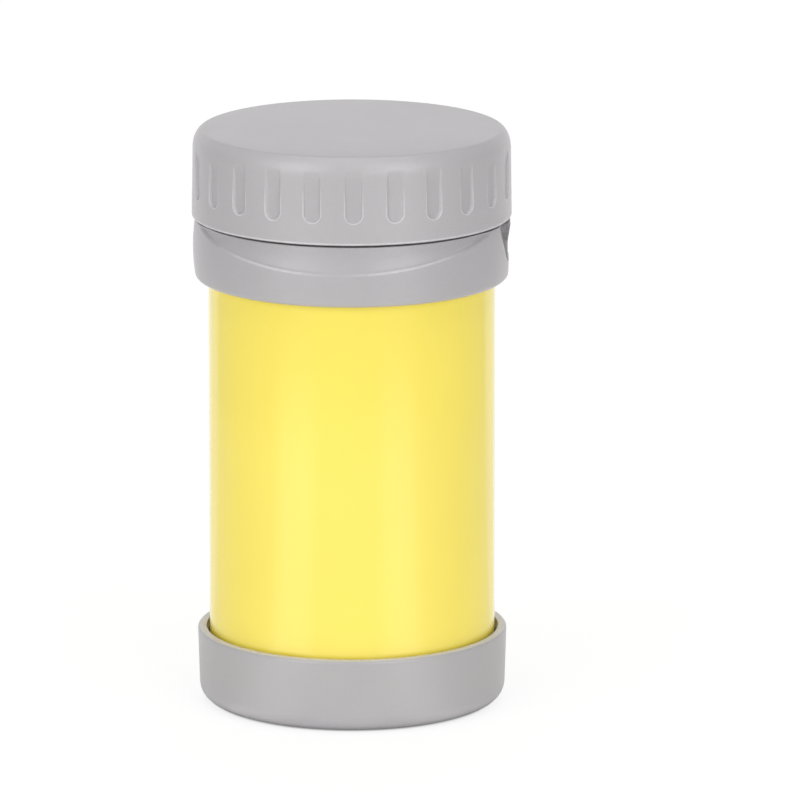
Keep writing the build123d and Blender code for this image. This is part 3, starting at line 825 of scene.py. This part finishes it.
def collar_rows(s, sin_a, pocket_z):
    """Radius, height and edge inset of the collar's outer rows, one column for each angle, and the painted
    highlight along the scoop's ledge.

    From the lower rounding the rows follow the belly, a parabola through three points, up to the
    ledge of the thumb scoop. The ledge lies on a plane that rises to the back: its height is low +
    rise * (1 - cos(angle from the scoop's middle)). There the radius goes in to the scoop's wall,
    and the wall goes up to the rounded upper edge. At the sides the scoop's depth fades out, and the
    ledge's section is squeezed to the height that is left above it.
    """
    low_radius, top = COLLAR_HIGH[1] - s.bulge, COLLAR_HIGH[2]
    arc_top = COLLAR_LOW[2] + s.low_rounding
    heights = [arc_top, COLLAR_LOW[2] + s.belly_rise, top]
    radii = [low_radius, COLLAR_HIGH[1], low_radius - s.top_taper]
    curve = np.polyfit(heights, radii, 2)
    true_drop = s.scoop_drop - s.scoop_rise * (1 + sin_a)
    fade = smooth_step(true_drop, *SCOOP_FADE)
    drop = -smooth_min(-true_drop, -LEAST_DROP + 0 * sin_a, 0.5)
    ledge = top - drop

    def belly(z):
        return np.polyval(curve, z)

    def wall_at(z):
        leaning = radii[2] - s.scoop_depth + s.scoop_lean * (top - z) / s.scoop_drop
        return leaning + fade * (belly(z) - leaning)

    t = np.linspace(-pi / 2, 0, 9)[:, None]
    low_r = low_radius - s.low_rounding * (1 - np.cos(t)) + 0 * sin_a
    low_z = arc_top + s.low_rounding * np.sin(t) + 0 * sin_a
    side_z = feature_heights(arc_top, pocket_z)
    share = (side_z - side_z[0]) / (side_z[-1] - side_z[0])
    up_z = arc_top + share[1:, None] * (ledge - LEDGE_INSET - arc_top)
    across, lift = LEDGE_STEPS[:, :, None]
    low_scale = np.clip((drop - 0.3) / 1.2, 0.3, 1)
    high_scale = np.clip((drop - 0.3 - LEDGE_CREST * low_scale) / 3.1, 0.02, 1)
    low_lift, high_lift = np.minimum(lift, LEDGE_CREST), np.maximum(lift - LEDGE_CREST, 0)
    ledge_z = ledge + low_lift * low_scale + high_lift * high_scale
    ledge_r = wall_at(ledge_z) + across * (belly(ledge_z) - wall_at(ledge_z))
    crest = top + s.rim_lift
    u = np.linspace(0, 1, 7)[1:, None]
    wall_z = ledge_z[-1] + u * (crest - RIM_ROUNDING - ledge_z[-1])
    edge = np.linspace(0, pi / 2, 5)[1:, None]
    edge_z = crest - RIM_ROUNDING * (1 - np.sin(edge)) + 0 * sin_a
    inset = RIM_ROUNDING * (1 - np.cos(edge)) + 0 * sin_a
    radius = np.vstack([low_r, belly(up_z), ledge_r, wall_at(wall_z), wall_at(top) - inset])
    height = np.vstack([low_z, up_z, ledge_z, wall_z, edge_z])
    insets = np.vstack([np.zeros((len(radius) - len(inset), radius.shape[1])), inset])
    # Painted highlight, with some rubbed wear: a light line along the scoop's ledge, fading out at the
    # sides.
    deep = smooth_step(true_drop, 3.0, 6.0)
    rubbed_and_lit = 0.8 * deep * smooth_step(true_drop, s.scoop_drop + 0.2, s.scoop_drop - 0.6)
    worn = rubbed_and_lit * band((height - ledge) / low_scale, -0.05, 0.5, 0.25)
    return radius, height, insets, worn


def feature_heights(bottom, pocket_z):
    """Row heights at the collar's side, close together at the pocket's walls."""
    walls = (pocket_z, EAR_Z, HEADER_Z)
    starts = (bottom, pocket_z + 0.6, EAR_Z + 0.6)
    runs = [
        np.linspace(start, wall - 0.5, count) for start, wall, count in zip(starts, walls, (6, 11, 6))
    ]
    top = COLLAR_HIGH[2] - LEDGE_CREST - LEDGE_INSET
    return np.sort(np.concatenate([*runs, [top], *(wall + WALL_STEPS for wall in walls)]))


def collar_columns():
    """Angles from +X, close together at the pocket's upright walls and 1.5 degrees apart elsewhere."""
    fine = np.concatenate([wall + WALL_STEPS for wall in (EAR_GAP, EAR_HALF)])
    plain = np.concatenate([np.linspace(0.6, EAR_GAP - 0.6, 8), [EAR_GAP + 0.8, EAR_GAP + 1.7]])
    outer = np.linspace(EAR_HALF + 0.6, FACE_HALF - 1.0, 14)
    side = np.arcsin(np.sort(np.concatenate([fine, plain, outer])) / COLLAR_HIGH[1])
    rest = np.linspace(side[-1], FULL_TURN - side[-1], 216)[1:-1]
    return np.concatenate([[0.0], side, rest, FULL_TURN - side[::-1]])


def past(x, edge, blur=0.2):
    """0 before an edge and 1 past it, with a smooth step as wide as the blur."""
    return smooth_step(x, edge - blur / 2, edge + blur / 2)


def pocket(s, x, y, z, inset):
    """Pushes the collar's outer points along X into the pocket and out to its bar and ears.

    The side is faced flat. Above its lower end the pocket is a flat that leans in, x = low - lean *
    (z - low z) / height. The finger well between the ears is the plane x = well. The bar and the ears
    lean out, x = low + lean * (z - low z).
    """
    side, pocket_z = np.abs(y), COLLAR_HIGH[2] - s.pocket_drop
    rise = np.clip((z - pocket_z) / s.pocket_drop, 0, 1)
    flat = COLLAR_HIGH[1] - s.pocket_depth - s.pocket_lean * rise - inset
    faced = smooth_min(x, COLLAR_HIGH[1] - FACE_CUT - inset, 0.4)
    pushed = faced + past(z, pocket_z) * (smooth_min(x, flat, 0.2) - faced)
    well = band(z, pocket_z, HEADER_Z, 0.2) * (1 - past(side, EAR_GAP))
    pushed = pushed + well * (WELL_X - pushed)
    seat = np.maximum(past(side, EAR_GAP) * past(z, EAR_Z), past(z, HEADER_Z))
    reach = COLLAR_HIGH[1] - EAR_CUT + EAR_LEAN * np.maximum(z - EAR_Z, 0) - inset
    pushed = pushed + seat * (1 - past(side, EAR_HALF)) * (reach - pushed)
    return np.where((x > 0) & (side < FACE_HALF), pushed, x)


def collar_grid(s, loop):
    """The collar's closed grid, and each point's painted light: a highlight with some rubbed wear on the
    scoop's ledge, and painted shade on the pocket's ear walls.

    The grid is the outer rows, the upper face and the stepped bore. Round +X a column has one Y in all
    outer rows, so that the pocket's upright walls are straight.
    """
    columns = collar_columns()
    signed = np.where(columns > pi, columns - FULL_TURN, columns)
    sin_a = np.sin(columns + s.scoop_shift / COLLAR_HIGH[1])
    radius, height, inset, worn = collar_rows(s, sin_a, COLLAR_HIGH[2] - loop.pocket_drop)
    keep = smooth_step(np.abs(signed), *KEEP_Y)
    straight = np.arcsin(np.clip(COLLAR_HIGH[1] * np.sin(signed) / radius, -1, 1))
    angle = np.where(np.abs(signed) < pi / 2, keep * straight + (1 - keep) * signed, signed)
    y = radius * np.sin(angle)
    x = pocket(loop, radius * np.cos(angle), y, height, inset)
    # Painted shade on the ears' outer side walls in the pocket, as values below zero.
    worn = worn - band(np.abs(y), EAR_HALF - 0.1, EAR_HALF + 0.1, 0.06) * (x > 0) * (height > EAR_Z)
    outer = np.stack([x, y, height], axis=-1)
    bottom, top = COLLAR_LOW[2], COLLAR_HIGH[2] + s.rim_lift
    seat_bore, lock_bore = NECK_BORE + 1.8, NECK_BORE + 2.0
    inner_line = outline(
        (lock_bore, top, 0.15), (lock_bore, top - 2.8, 0.1), (NECK_BORE, top - 2.8, 0.2),
        (NECK_BORE, top - 12.4, 0.2), (seat_bore, top - 12.4, 0.1), (seat_bore, bottom + 1.7, 0.2),
        (CUP_BORE, bottom + 1.0, 0.2), (CUP_BORE, bottom, 0.25), (CUP_BORE + 0.9, bottom), step=2.5,
    )
    inner_line[0] = lock_bore + 0.15, top
    inner = turned(inner_line, signed)
    upper = outer[-1] + np.array([0.12, 0.5, 0.88])[:, None, None] * (inner[0] - outer[-1])
    grid = np.concatenate([outer, upper, inner])
    return grid, np.vstack([worn, np.zeros((len(grid) - len(worn), len(columns)))])


# ---- strap loop ----
def loop_grid(s):
    """A rounded bar carried round a rectangle with round corners, in the plane of Y and Z.

    A point is path(u) + side(u) * width * c(v) + X * thickness * d(v), where c and d are the
    coordinates of a superellipse: sign(cos v) |cos v|^(2/n) and sign(sin v) |sin v|^(2/n).
    """
    low, high = LOOP_LOW[2] + s.bar_height / 2, HINGE_Z
    half = LOOP_HIGH[1] - s.leg_width / 2
    corners = (-half, low, 1.7), (half, low, 1.7), (half, high, 1.2), (-half, high, 1.2)
    path = outline(*corners, step=0.7, closed=True)
    ahead = np.roll(path, -1, axis=0) - np.roll(path, 1, axis=0)
    ahead /= np.linalg.norm(ahead, axis=1)[:, None]
    side = np.column_stack([ahead[:, 1], -ahead[:, 0]])
    z = path[:, 1]
    at_top = smooth_step(z, high - 1.6, high - 0.5)
    in_leg = smooth_step(z, low + 0.1, low + 2.0)
    width = s.bar_height / 2 + in_leg * (s.leg_width - s.bar_height) / 2
    width = width + at_top * (0.8 - width)
    thick = s.thickness / 2 - 0.2 * at_top
    middle = LOOP_HIGH[0] - 0.35 - s.thickness / 2 + 0 * z
    middle = middle + at_top * (HINGE_X - middle)
    v = np.linspace(0, FULL_TURN, 40, endpoint=False)
    c, d = (np.sign(wave) * np.abs(wave) ** (2 / 4.5) for wave in (np.cos(v), np.sin(v)))
    x = middle[:, None] + thick[:, None] * d
    y, height = (path[:, k : k + 1] + side[:, k : k + 1] * width[:, None] * c for k in (0, 1))
    return np.stack([x, y, height], axis=-1)


def barrel_grid(s):
    """The loop's barrel, turned about the hinge pin: x = X + r cos(a), z = Z + r sin(a)."""
    half, bore, radius = LOOP_HIGH[1], 0.66, s.knuckle_radius
    corners = (bore, -half, 0.1), (radius, -half, 0.3), (radius, half, 0.3), (bore, half, 0.1)
    grid = turned(outline(*corners, step=1.0, closed=True), 56)
    return np.stack([grid[..., 0] + HINGE_X, grid[..., 2], grid[..., 1] + HINGE_Z], axis=-1)


# ---- flask ----
LACQUER_RISE = 1.6            # how far up the shoulder's slope the lacquer goes
SHOULDER_ROUNDING = 2.5


def shell_grid(s):
    """The shell's turned grid, inside and outside, with the thread's ridges raised on its neck."""
    body, neck = SHELL_HIGH[0], SHELL_HIGH[0] - s.shoulder_width
    bottom, top = SHELL_LOW[2], SHELL_HIGH[2]
    shoulder, neck_z = s.shoulder_height, s.shoulder_height + s.shoulder_rise
    lower = outline(
        (body - s.shell_wall, bottom, 0.15), (body, bottom, 0.25),
        (body, shoulder, SHOULDER_ROUNDING), (neck, neck_z, SHOULDER_ROUNDING),
        (neck, neck_z + 3.0), step=4.0,
    )
    upper = outline(
        (neck, top - 0.5), (neck, top), (neck - s.shell_wall, top),
        (neck - s.shell_wall, neck_z - 0.2, 2.0), (body - s.shell_wall, shoulder - 0.2, 2.0),
        (body - s.shell_wall, bottom + 0.3), step=5.0,
    )
    return threaded_grid(
        lower, upper, neck, ridge=NECK_RIDGE, ends=(neck_z + 4.0, top - 0.6),
        low=top - THREAD_DEPTH, lead=s.thread_lead, first=0.0, span=NECK_SPAN,
    )


def vessel_line(s):
    """Half section of the food vessel: outside, over the rolled lip, and down its inside."""
    lip, neck, bottom = VESSEL_HIGH[2], VESSEL_HIGH[0], VESSEL_LOW[2]
    outer = neck - s.shell_wall - s.neck_space
    mouth = outer - s.vessel_wall
    return outline(
        (0, bottom), (outer, bottom, 6.0), (outer, lip - 1.0, 0.2), (neck, lip - 1.0, 0.15),
        (neck, lip, 0.48), (mouth, lip, 0.48), (mouth, bottom + s.vessel_wall, 5.5),
        (0, bottom + s.vessel_wall), step=4.0,
    )


# ---- base cup ----
FOOT_WIDTH, FOOT_FIT = 4.3, 0.1
FOOT_GROOVES, GROOVE_DEPTH = 72, 0.28


def cup_line(s):
    """Half section of the base cup, from the middle of its underside round to its floor inside."""
    low, top = CUP_LOW[2], CUP_HIGH[2] + s.rim_lift
    rim, gap = CUP_BORE + s.rim_wall, CUP_BORE + s.rim_gap
    foot_outer, foot_inner = FOOT_HIGH[0] + FOOT_FIT, FOOT_HIGH[0] - FOOT_WIDTH - FOOT_FIT
    groove = FOOT_HIGH[2]
    recess, inside = low + 0.7, low + 2.6
    steps = (0.0, 0.0), (0.3, 0.25), (1.3, 0.25), (1.6, 0.0)
    rings = [(at + out, recess + up, 0.1) for at in (11.0, 24.0) for out, up in steps]
    return outline(
        (0, recess + 0.3), (1.6, recess + 0.3, 0.3), (2.2, recess, 0.3), *rings,
        (foot_inner - 3.0, recess, 0.3), (foot_inner - 2.3, low, 0.3), (foot_inner, low, 0.15),
        (foot_inner, groove, 0.1), (foot_outer, groove, 0.1), (foot_outer, low, 0.15),
        (rim - s.taper, low, s.bottom_rounding), (rim, top, s.rim_rounding), (gap, top, 0.35),
        (gap, top - 1.2, 0.2), (CUP_BORE, top - 1.8, 0.2), (CUP_BORE, inside, 1.0), (0, inside),
        step=2.0,
    )


def foot_grid():
    """The foot ring's turned grid. Its lower face has radial grip grooves: z is raised there."""
    inner, outer, top = FOOT_HIGH[0] - FOOT_WIDTH, FOOT_HIGH[0], FOOT_HIGH[2]
    corners = (inner, 0, 0.35), (outer, 0, 0.35), (outer, top, 0.1), (inner, top, 0.1)
    line = outline(*corners, step=0.5, closed=True)
    columns = np.linspace(0, FULL_TURN, 720, endpoint=False)
    grid = turned(line, columns)
    groove = smooth_step(np.cos(FOOT_GROOVES * columns), 0.55, 0.9)
    under = smooth_step(line[:, 1:], 0.5, 0.05) * band(line[:, :1], inner + 0.8, outer - 0.8, 0.3)
    grid[..., 2] += GROOVE_DEPTH * groove * under
    return grid


# ---- operators ----
class FOODJAR_OT_lid(Operator):
    """Make the fluted cap, the threaded liner and the seal of the lid"""

    bl_idname = "food_jar.lid"
    bl_label = "Lid"

    def execute(self, context):
        lid, flask = settings_in_mm(context, "lid"), settings_in_mm(context, "flask")
        plastic = moulded_finish("Lid plastic", lid.tint, depth=5e-5)
        inner = moulded_finish("Liner plastic", lid.liner_tint, roughness=0.34, depth=2e-6, mottling=0.02)
        silicone = rubber_finish("Seal silicone", lid.seal_tint, 0.42, subsurface=0.15)
        cap, worn = lid_cap_grid(lid)
        liner, seal = liner_grid(flask), turned(seal_line())
        make_piece("lid_shell", cap, False, plastic, "lid", "lid_cap", worn)
        make_piece("lid_plug", liner, False, inner, "lid", "lid_liner")
        make_piece("seal_ring", seal, True, silicone, "seal", "lid_seal")
        return {"FINISHED"}


class FOODJAR_OT_collar(Operator):
    """Make the collar with its thumb scoop and the pocket for the strap loop"""

    bl_idname = "food_jar.collar"
    bl_label = "Collar"

    def execute(self, context):
        collar, loop = settings_in_mm(context, "collar"), settings_in_mm(context, "loop")
        plastic = moulded_finish("Collar plastic", collar.tint, depth=5e-5)
        grid, worn = collar_grid(collar, loop)
        make_piece("collar_band", grid, True, plastic, "jar", "collar", worn)
        return {"FINISHED"}


class FOODJAR_OT_loop(Operator):
    """Make the strap loop and its barrel round the pin"""

    bl_idname = "food_jar.loop"
    bl_label = "Strap loop"

    def execute(self, context):
        loop = settings_in_mm(context, "loop")
        plastic = moulded_finish("Loop plastic", loop.tint, roughness=0.4)
        make_piece("loop_frame", loop_grid(loop), True, plastic, "loop", "strap_loop")
        make_piece("loop_barrel", barrel_grid(loop), True, plastic, "loop")
        return {"FINISHED"}


class FOODJAR_OT_flask(Operator):
    """Make the lacquered shell with its threaded neck, and the food vessel"""

    bl_idname = "food_jar.flask"
    bl_label = "Flask"

    def execute(self, context):
        flask = settings_in_mm(context, "flask")
        paint_end = (flask.shoulder_height + LACQUER_RISE) * MM
        lacquer = lacquered_finish("Shell lacquer", flask.lacquer, flask.steel, paint_end)
        steel = steel_finish("Vessel steel", flask.steel)
        shell, vessel = shell_grid(flask), turned(vessel_line(flask))
        make_piece("body_shell", shell, True, lacquer, "jar", "outer_shell")
        make_piece("food_vessel", vessel, False, steel, "jar", "inner_vessel")
        return {"FINISHED"}


class FOODJAR_OT_base(Operator):
    """Make the base cup and the grooved foot ring"""

    bl_idname = "food_jar.base"
    bl_label = "Base"

    def execute(self, context):
        base = settings_in_mm(context, "base")
        plastic = moulded_finish("Cup plastic", base.tint)
        rubber = rubber_finish("Foot rubber", base.foot_tint, 0.62)
        cup = turned(cup_line(base))
        rim = CUP_HIGH[2] + base.rim_lift
        outside = np.hypot(cup[..., 0], cup[..., 1]) > CUP_BORE + 0.7
        # Painted highlight, with some rubbed wear: a light band along the rim's outer top edge.
        worn = 0.95 * band(cup[..., 2], rim - 0.16, rim + 0.5, 0.2) * outside
        make_piece("cup_shell", cup, False, plastic, "jar", "base_cup", worn)
        make_piece("foot_pad", foot_grid(), True, rubber, "jar", "foot_ring")
        return {"FINISHED"}


class FOODJAR_OT_inner_parts(Operator):
    """Give the CAD parts that stay in view their finishes"""

    bl_idname = "food_jar.inner_parts"
    bl_label = "Inner parts"

    def execute(self, context):
        jar = context.scene.food_jar
        steel, lid = tuple(jar.flask.steel), jar.lid
        sheet = steel_finish("Sheet steel", steel, roughness=0.3, lines_per_metre=1500.0)
        finishes = {
            "outer_bottom": sheet,
            "seal_cover": sheet,
            "getter_clip": sheet,
            "loop_pin": steel_finish("Pin steel", steel, lines_per_metre=4000.0),
            "collar_gasket": rubber_finish("Gasket silicone", tuple(lid.seal_tint), 0.45, subsurface=0.1),
            "collar_lock_ring": moulded_finish("Lock ring plastic", tuple(lid.liner_tint), roughness=0.38),
            "heat_shield": foil_finish("Copper foil", (0.86, 0.42, 0.28)),
            "getter": foam_finish("Getter pellet", (0.22, 0.21, 0.20)),
            "vacuum_seal": rubber_finish("Seal glass", (0.50, 0.47, 0.42), 0.12),
            "base_buffer": foam_finish("Buffer foam", (0.16, 0.16, 0.165)),
            "lid_foam": foam_finish("Lid foam", (0.86, 0.85, 0.80)),
        }
        for node, finish in finishes.items():
            for material_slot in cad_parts[node].material_slots:
                material_slot.link = "OBJECT"
                material_slot.material = finish
        return {"FINISHED"}


class FOODJAR_OT_stage(Operator):
    """Make the floor, the lamps, the surroundings and the camera"""

    bl_idname = "food_jar.stage"
    bl_label = "Stage"

    def execute(self, context):
        stage = context.scene.food_jar.stage
        make_floor(stage)
        make_surroundings(context.scene, stage.light_level)
        for name, azimuth, elevation, spread, strength, glossy in (
            ("Key left", -40, 20, 40, stage.key_level, True),
            ("Key right", 32, 20, 40, stage.key_level, True),
            ("Top", 0, 88, 60, stage.top_level, True),
            ("Back", 180, 25, 60, stage.back_level, False),
        ):
            make_lamp(name, azimuth, elevation, spread, strength, glossy)
        make_camera(context.scene)
        context.scene.view_settings.view_transform = "Standard"
        return {"FINISHED"}


# ---- stage ----
FLOOR_HALF = 6.0
LIT_LEVEL = 0.74              # what the floor's paint gives by itself in a reflection
UNDER_LEVEL = 0.8             # light of the patch under the jar
# Distances from the jar's axis, in metres, between which the floor changes.
# Painted contact shadow: the camera sees no glow on the floor close round the jar's foot.
CONTACT_SHADOW = 0.0375, 0.0415     # it starts to show, outside the dark line under the jar
UNDER_GLOW = 0.0415, 0.039        # the patch that lights the underside
# Painted shade in reflections: close round the jar the floor shows no extra brightness in a reflection.
SHINE_START = 0.0405, 0.048       # it starts to show in reflections
# Painted shadow: the paint that lights the jar is darker close round its foot.
PAINTED_SHADOW = 0.0385, 0.0445      # its paint goes from a tenth of its shade to all of it
FAR_FADE = 0.33, 0.56             # it fades in reflections
# Angles off the front, in degrees, between which the front ends and the back starts.
FRONT_END, BACK_START = (85.0, 40.0), (129.0, 133.0)
# The reflected lamps' direction, and how far off it they end and are full, in degrees.
LEFT_LAMP, RIGHT_LAMP = (-43.0, 22.0, 7.0), (36.0, 20.0, 6.0)
CAMERA_PLACE, CAMERA_TILT = (0.01375, -2.588, 0.674), radians(77.23)
CAMERA_LENS, CAMERA_SENSOR = 417.0, 36.0      # in millimetres


def studio_directions(tree, place):
    """Masks by direction round the jar: the front, the two soft lamps beside the camera and the back."""
    x, y, z = add(tree, "SeparateXYZ", Vector=place).outputs
    turn = maths(tree, "ARCTAN2", x, maths(tree, "MULTIPLY", y, -1.0))
    azimuth = maths(tree, "MULTIPLY", turn, 180 / pi)
    off = maths(tree, "ABSOLUTE", azimuth)
    lamps = [
        remap(tree, maths(tree, "ABSOLUTE", maths(tree, "SUBTRACT", azimuth, middle)), outer, inner)
        for middle, outer, inner in (LEFT_LAMP, RIGHT_LAMP)
    ]
    front, back = remap(tree, off, *FRONT_END), remap(tree, off, *BACK_START)
    return front, maths(tree, "ADD", *lamps), back, z


def reflected_level(tree, front, lamps, parts, fade):
    """Brightness that a reflection shows: plain + front share + lamp share, times a fade."""
    plain, front_part, lamp_part = parts
    level = maths(tree, "MULTIPLY_ADD", front, front_part, plain)
    level = maths(tree, "MULTIPLY_ADD", lamps, lamp_part, level)
    return maths(tree, "MULTIPLY", level, fade)


def make_floor(stage):
    """Pale floor that also glows. It shows white where no shadow falls, and is clear from below.

    A reflection shows it brighter before the two soft lamps, dimmer far off, and white at the back.
    A patch under the jar lights its underside. Round the jar's foot it has a painted contact shadow:
    the camera and reflections see no glow there, and the paint that lights the jar is darker.
    """
    half = FLOOR_HALF
    mesh = bpy.data.meshes.new("floor")
    mesh.from_pydata(
        [(-half, -half, 0), (half, -half, 0), (half, half, 0), (-half, half, 0)], [], [(0, 1, 2, 3)]
    )
    material = bpy.data.materials.new("Floor")
    material.use_nodes = True
    tree = material.node_tree
    tree.nodes.clear()
    path = add(tree, "LightPath").outputs
    place = add(tree, "TexCoord").outputs["Object"]
    front, lamps, back, _ = studio_directions(tree, place)
    far = add(tree, "VectorMath", {"operation": "LENGTH"})
    plug(tree, far.inputs[0], place)
    distance = far.outputs["Value"]
    fade = remap(tree, distance, *FAR_FADE, 1.0, 0.4)
    level = reflected_level(tree, front, lamps, (0.95, 0.45, 0.95), fade)
    level = blend_values(tree, back, level, 1.1)
    level = maths(tree, "MAXIMUM", maths(tree, "SUBTRACT", level, LIT_LEVEL), 0.0)
    level = maths(tree, "MULTIPLY", level, remap(tree, distance, *SHINE_START))
    under = remap(tree, distance, *UNDER_GLOW)
    glow = maths(tree, "MULTIPLY_ADD", under, UNDER_LEVEL, stage.floor_glow)
    level = blend_values(tree, path["Is Glossy Ray"], glow, level)
    # Painted contact shadow, seen by the camera.
    shown = maths(tree, "MULTIPLY", remap(tree, distance, *CONTACT_SHADOW), stage.floor_fill)
    shine = add(tree, "Emission", Color=blend_values(tree, path["Is Camera Ray"], level, shown))
    # Painted shadow in the light the floor throws back on the jar.
    near = remap(tree, distance, *PAINTED_SHADOW, 0.1, 1.0)
    share = blend_values(tree, path["Is Camera Ray"], near, 0.25)
    paint = add(tree, "BsdfDiffuse", Color=tinted(tree, tuple(stage.floor_tint), share))
    lit = add_in_order(tree, "AddShader", None, paint.outputs[0], shine.outputs[0])
    clear = add(tree, "BsdfTransparent").outputs[0]
    behind = add(tree, "NewGeometry").outputs["Backfacing"]
    add(tree, "OutputMaterial", Surface=add_in_order(tree, "MixShader", None, behind, lit, clear))
    mesh.materials.append(material)
    floor = bpy.data.objects.new("floor", mesh)
    bpy.context.scene.collection.objects.link(floor)


def make_surroundings(scene, level):
    """Even light of a given level. It shows as white, and as a soft studio in a reflection."""
    world = bpy.data.worlds.new("Surroundings")
    world.use_nodes = True
    tree = world.node_tree
    tree.nodes.clear()
    place = add(tree, "TexCoord").outputs["Generated"]
    front, lamps, back, z = studio_directions(tree, place)
    overhead = remap(tree, z, 0.76, 0.94, 1.0, 0.1)
    near_ground = remap(tree, z, 0.02, 0.25, 2.3, 1.0)
    lamps = maths(tree, "MULTIPLY", lamps, near_ground)
    studio = reflected_level(tree, front, lamps, (0.5, 0.45, 1.15), overhead)
    studio = blend_values(tree, back, studio, remap(tree, z, 0.22, 0.6, 1.0, 0.25))
    path = add(tree, "LightPath").outputs
    again = maths(tree, "GREATER_THAN", path["Glossy Depth"], 1.5)
    studio = blend_values(tree, again, studio, 0.9)
    seen = maths(tree, "MAXIMUM", path["Is Camera Ray"], path["Is Transmission Ray"])
    shown = blend_values(tree, path["Is Glossy Ray"], level, studio)
    sky = add(tree, "Background", Color=blend_values(tree, seen, shown, 1.0))
    add(tree, "OutputWorld", Surface=sky.outputs[0])
    scene.world = world


def make_lamp(name, azimuth, elevation, spread, strength, glossy):
    """Soft distant lamp. Azimuth 0 is the front and 90 the right, and the angles are in degrees."""
    data = bpy.data.lights.new(name, "SUN")
    data.energy = strength
    data.angle = radians(spread)
    lamp = bpy.data.objects.new(name, data)
    lamp.rotation_euler = (radians(90 - elevation), 0.0, radians(azimuth))
    lamp.visible_glossy = glossy
    bpy.context.scene.collection.objects.link(lamp)


def make_camera(scene):
    """Long lens in front of the jar, a little above it."""
    data = bpy.data.cameras.new("Camera")
    data.sensor_width = CAMERA_SENSOR
    data.lens = CAMERA_LENS
    camera = bpy.data.objects.new("Camera", data)
    camera.location = CAMERA_PLACE
    camera.rotation_euler = (CAMERA_TILT, 0.0, 0.0)
    scene.collection.objects.link(camera)
    scene.camera = camera


class FOODJAR_PT_panel(Panel):
    bl_idname = "FOODJAR_PT_panel"
    bl_label = "Food Jar"
    bl_space_type = "VIEW_3D"
    bl_region_type = "UI"
    bl_category = "Food Jar"

    def draw(self, context):
        for operator, part in STEPS:
            box = self.layout.box()
            box.operator(operator.bl_idname)
            if part:
                group = getattr(context.scene.food_jar, part)
                for key in group.__annotations__:
                    box.prop(group, key)


STEPS = (
    (FOODJAR_OT_flask, "flask"),
    (FOODJAR_OT_base, "base"),
    (FOODJAR_OT_collar, "collar"),
    (FOODJAR_OT_loop, "loop"),
    (FOODJAR_OT_lid, "lid"),
    (FOODJAR_OT_inner_parts, None),
    (FOODJAR_OT_stage, "stage"),
)

CLASSES = (
    JarLidSettings,
    JarCollarSettings,
    JarLoopSettings,
    JarFlaskSettings,
    JarBaseSettings,
    JarStageSettings,
    FoodJarSettings,
    *(operator for operator, part in STEPS),
    FOODJAR_PT_panel,
)


def register():
    for each in CLASSES:
        bpy.utils.register_class(each)
    bpy.types.Scene.food_jar = PointerProperty(type=FoodJarSettings)


def unregister():
    del bpy.types.Scene.food_jar
    for each in reversed(CLASSES):
        bpy.utils.unregister_class(each)


def main():
    register()
    bpy.ops.food_jar.flask()
    bpy.ops.food_jar.base()
    bpy.ops.food_jar.collar()
    bpy.ops.food_jar.loop()
    bpy.ops.food_jar.lid()
    bpy.ops.food_jar.inner_parts()
    bpy.ops.food_jar.stage()


if __name__ == "__main__":
    main()
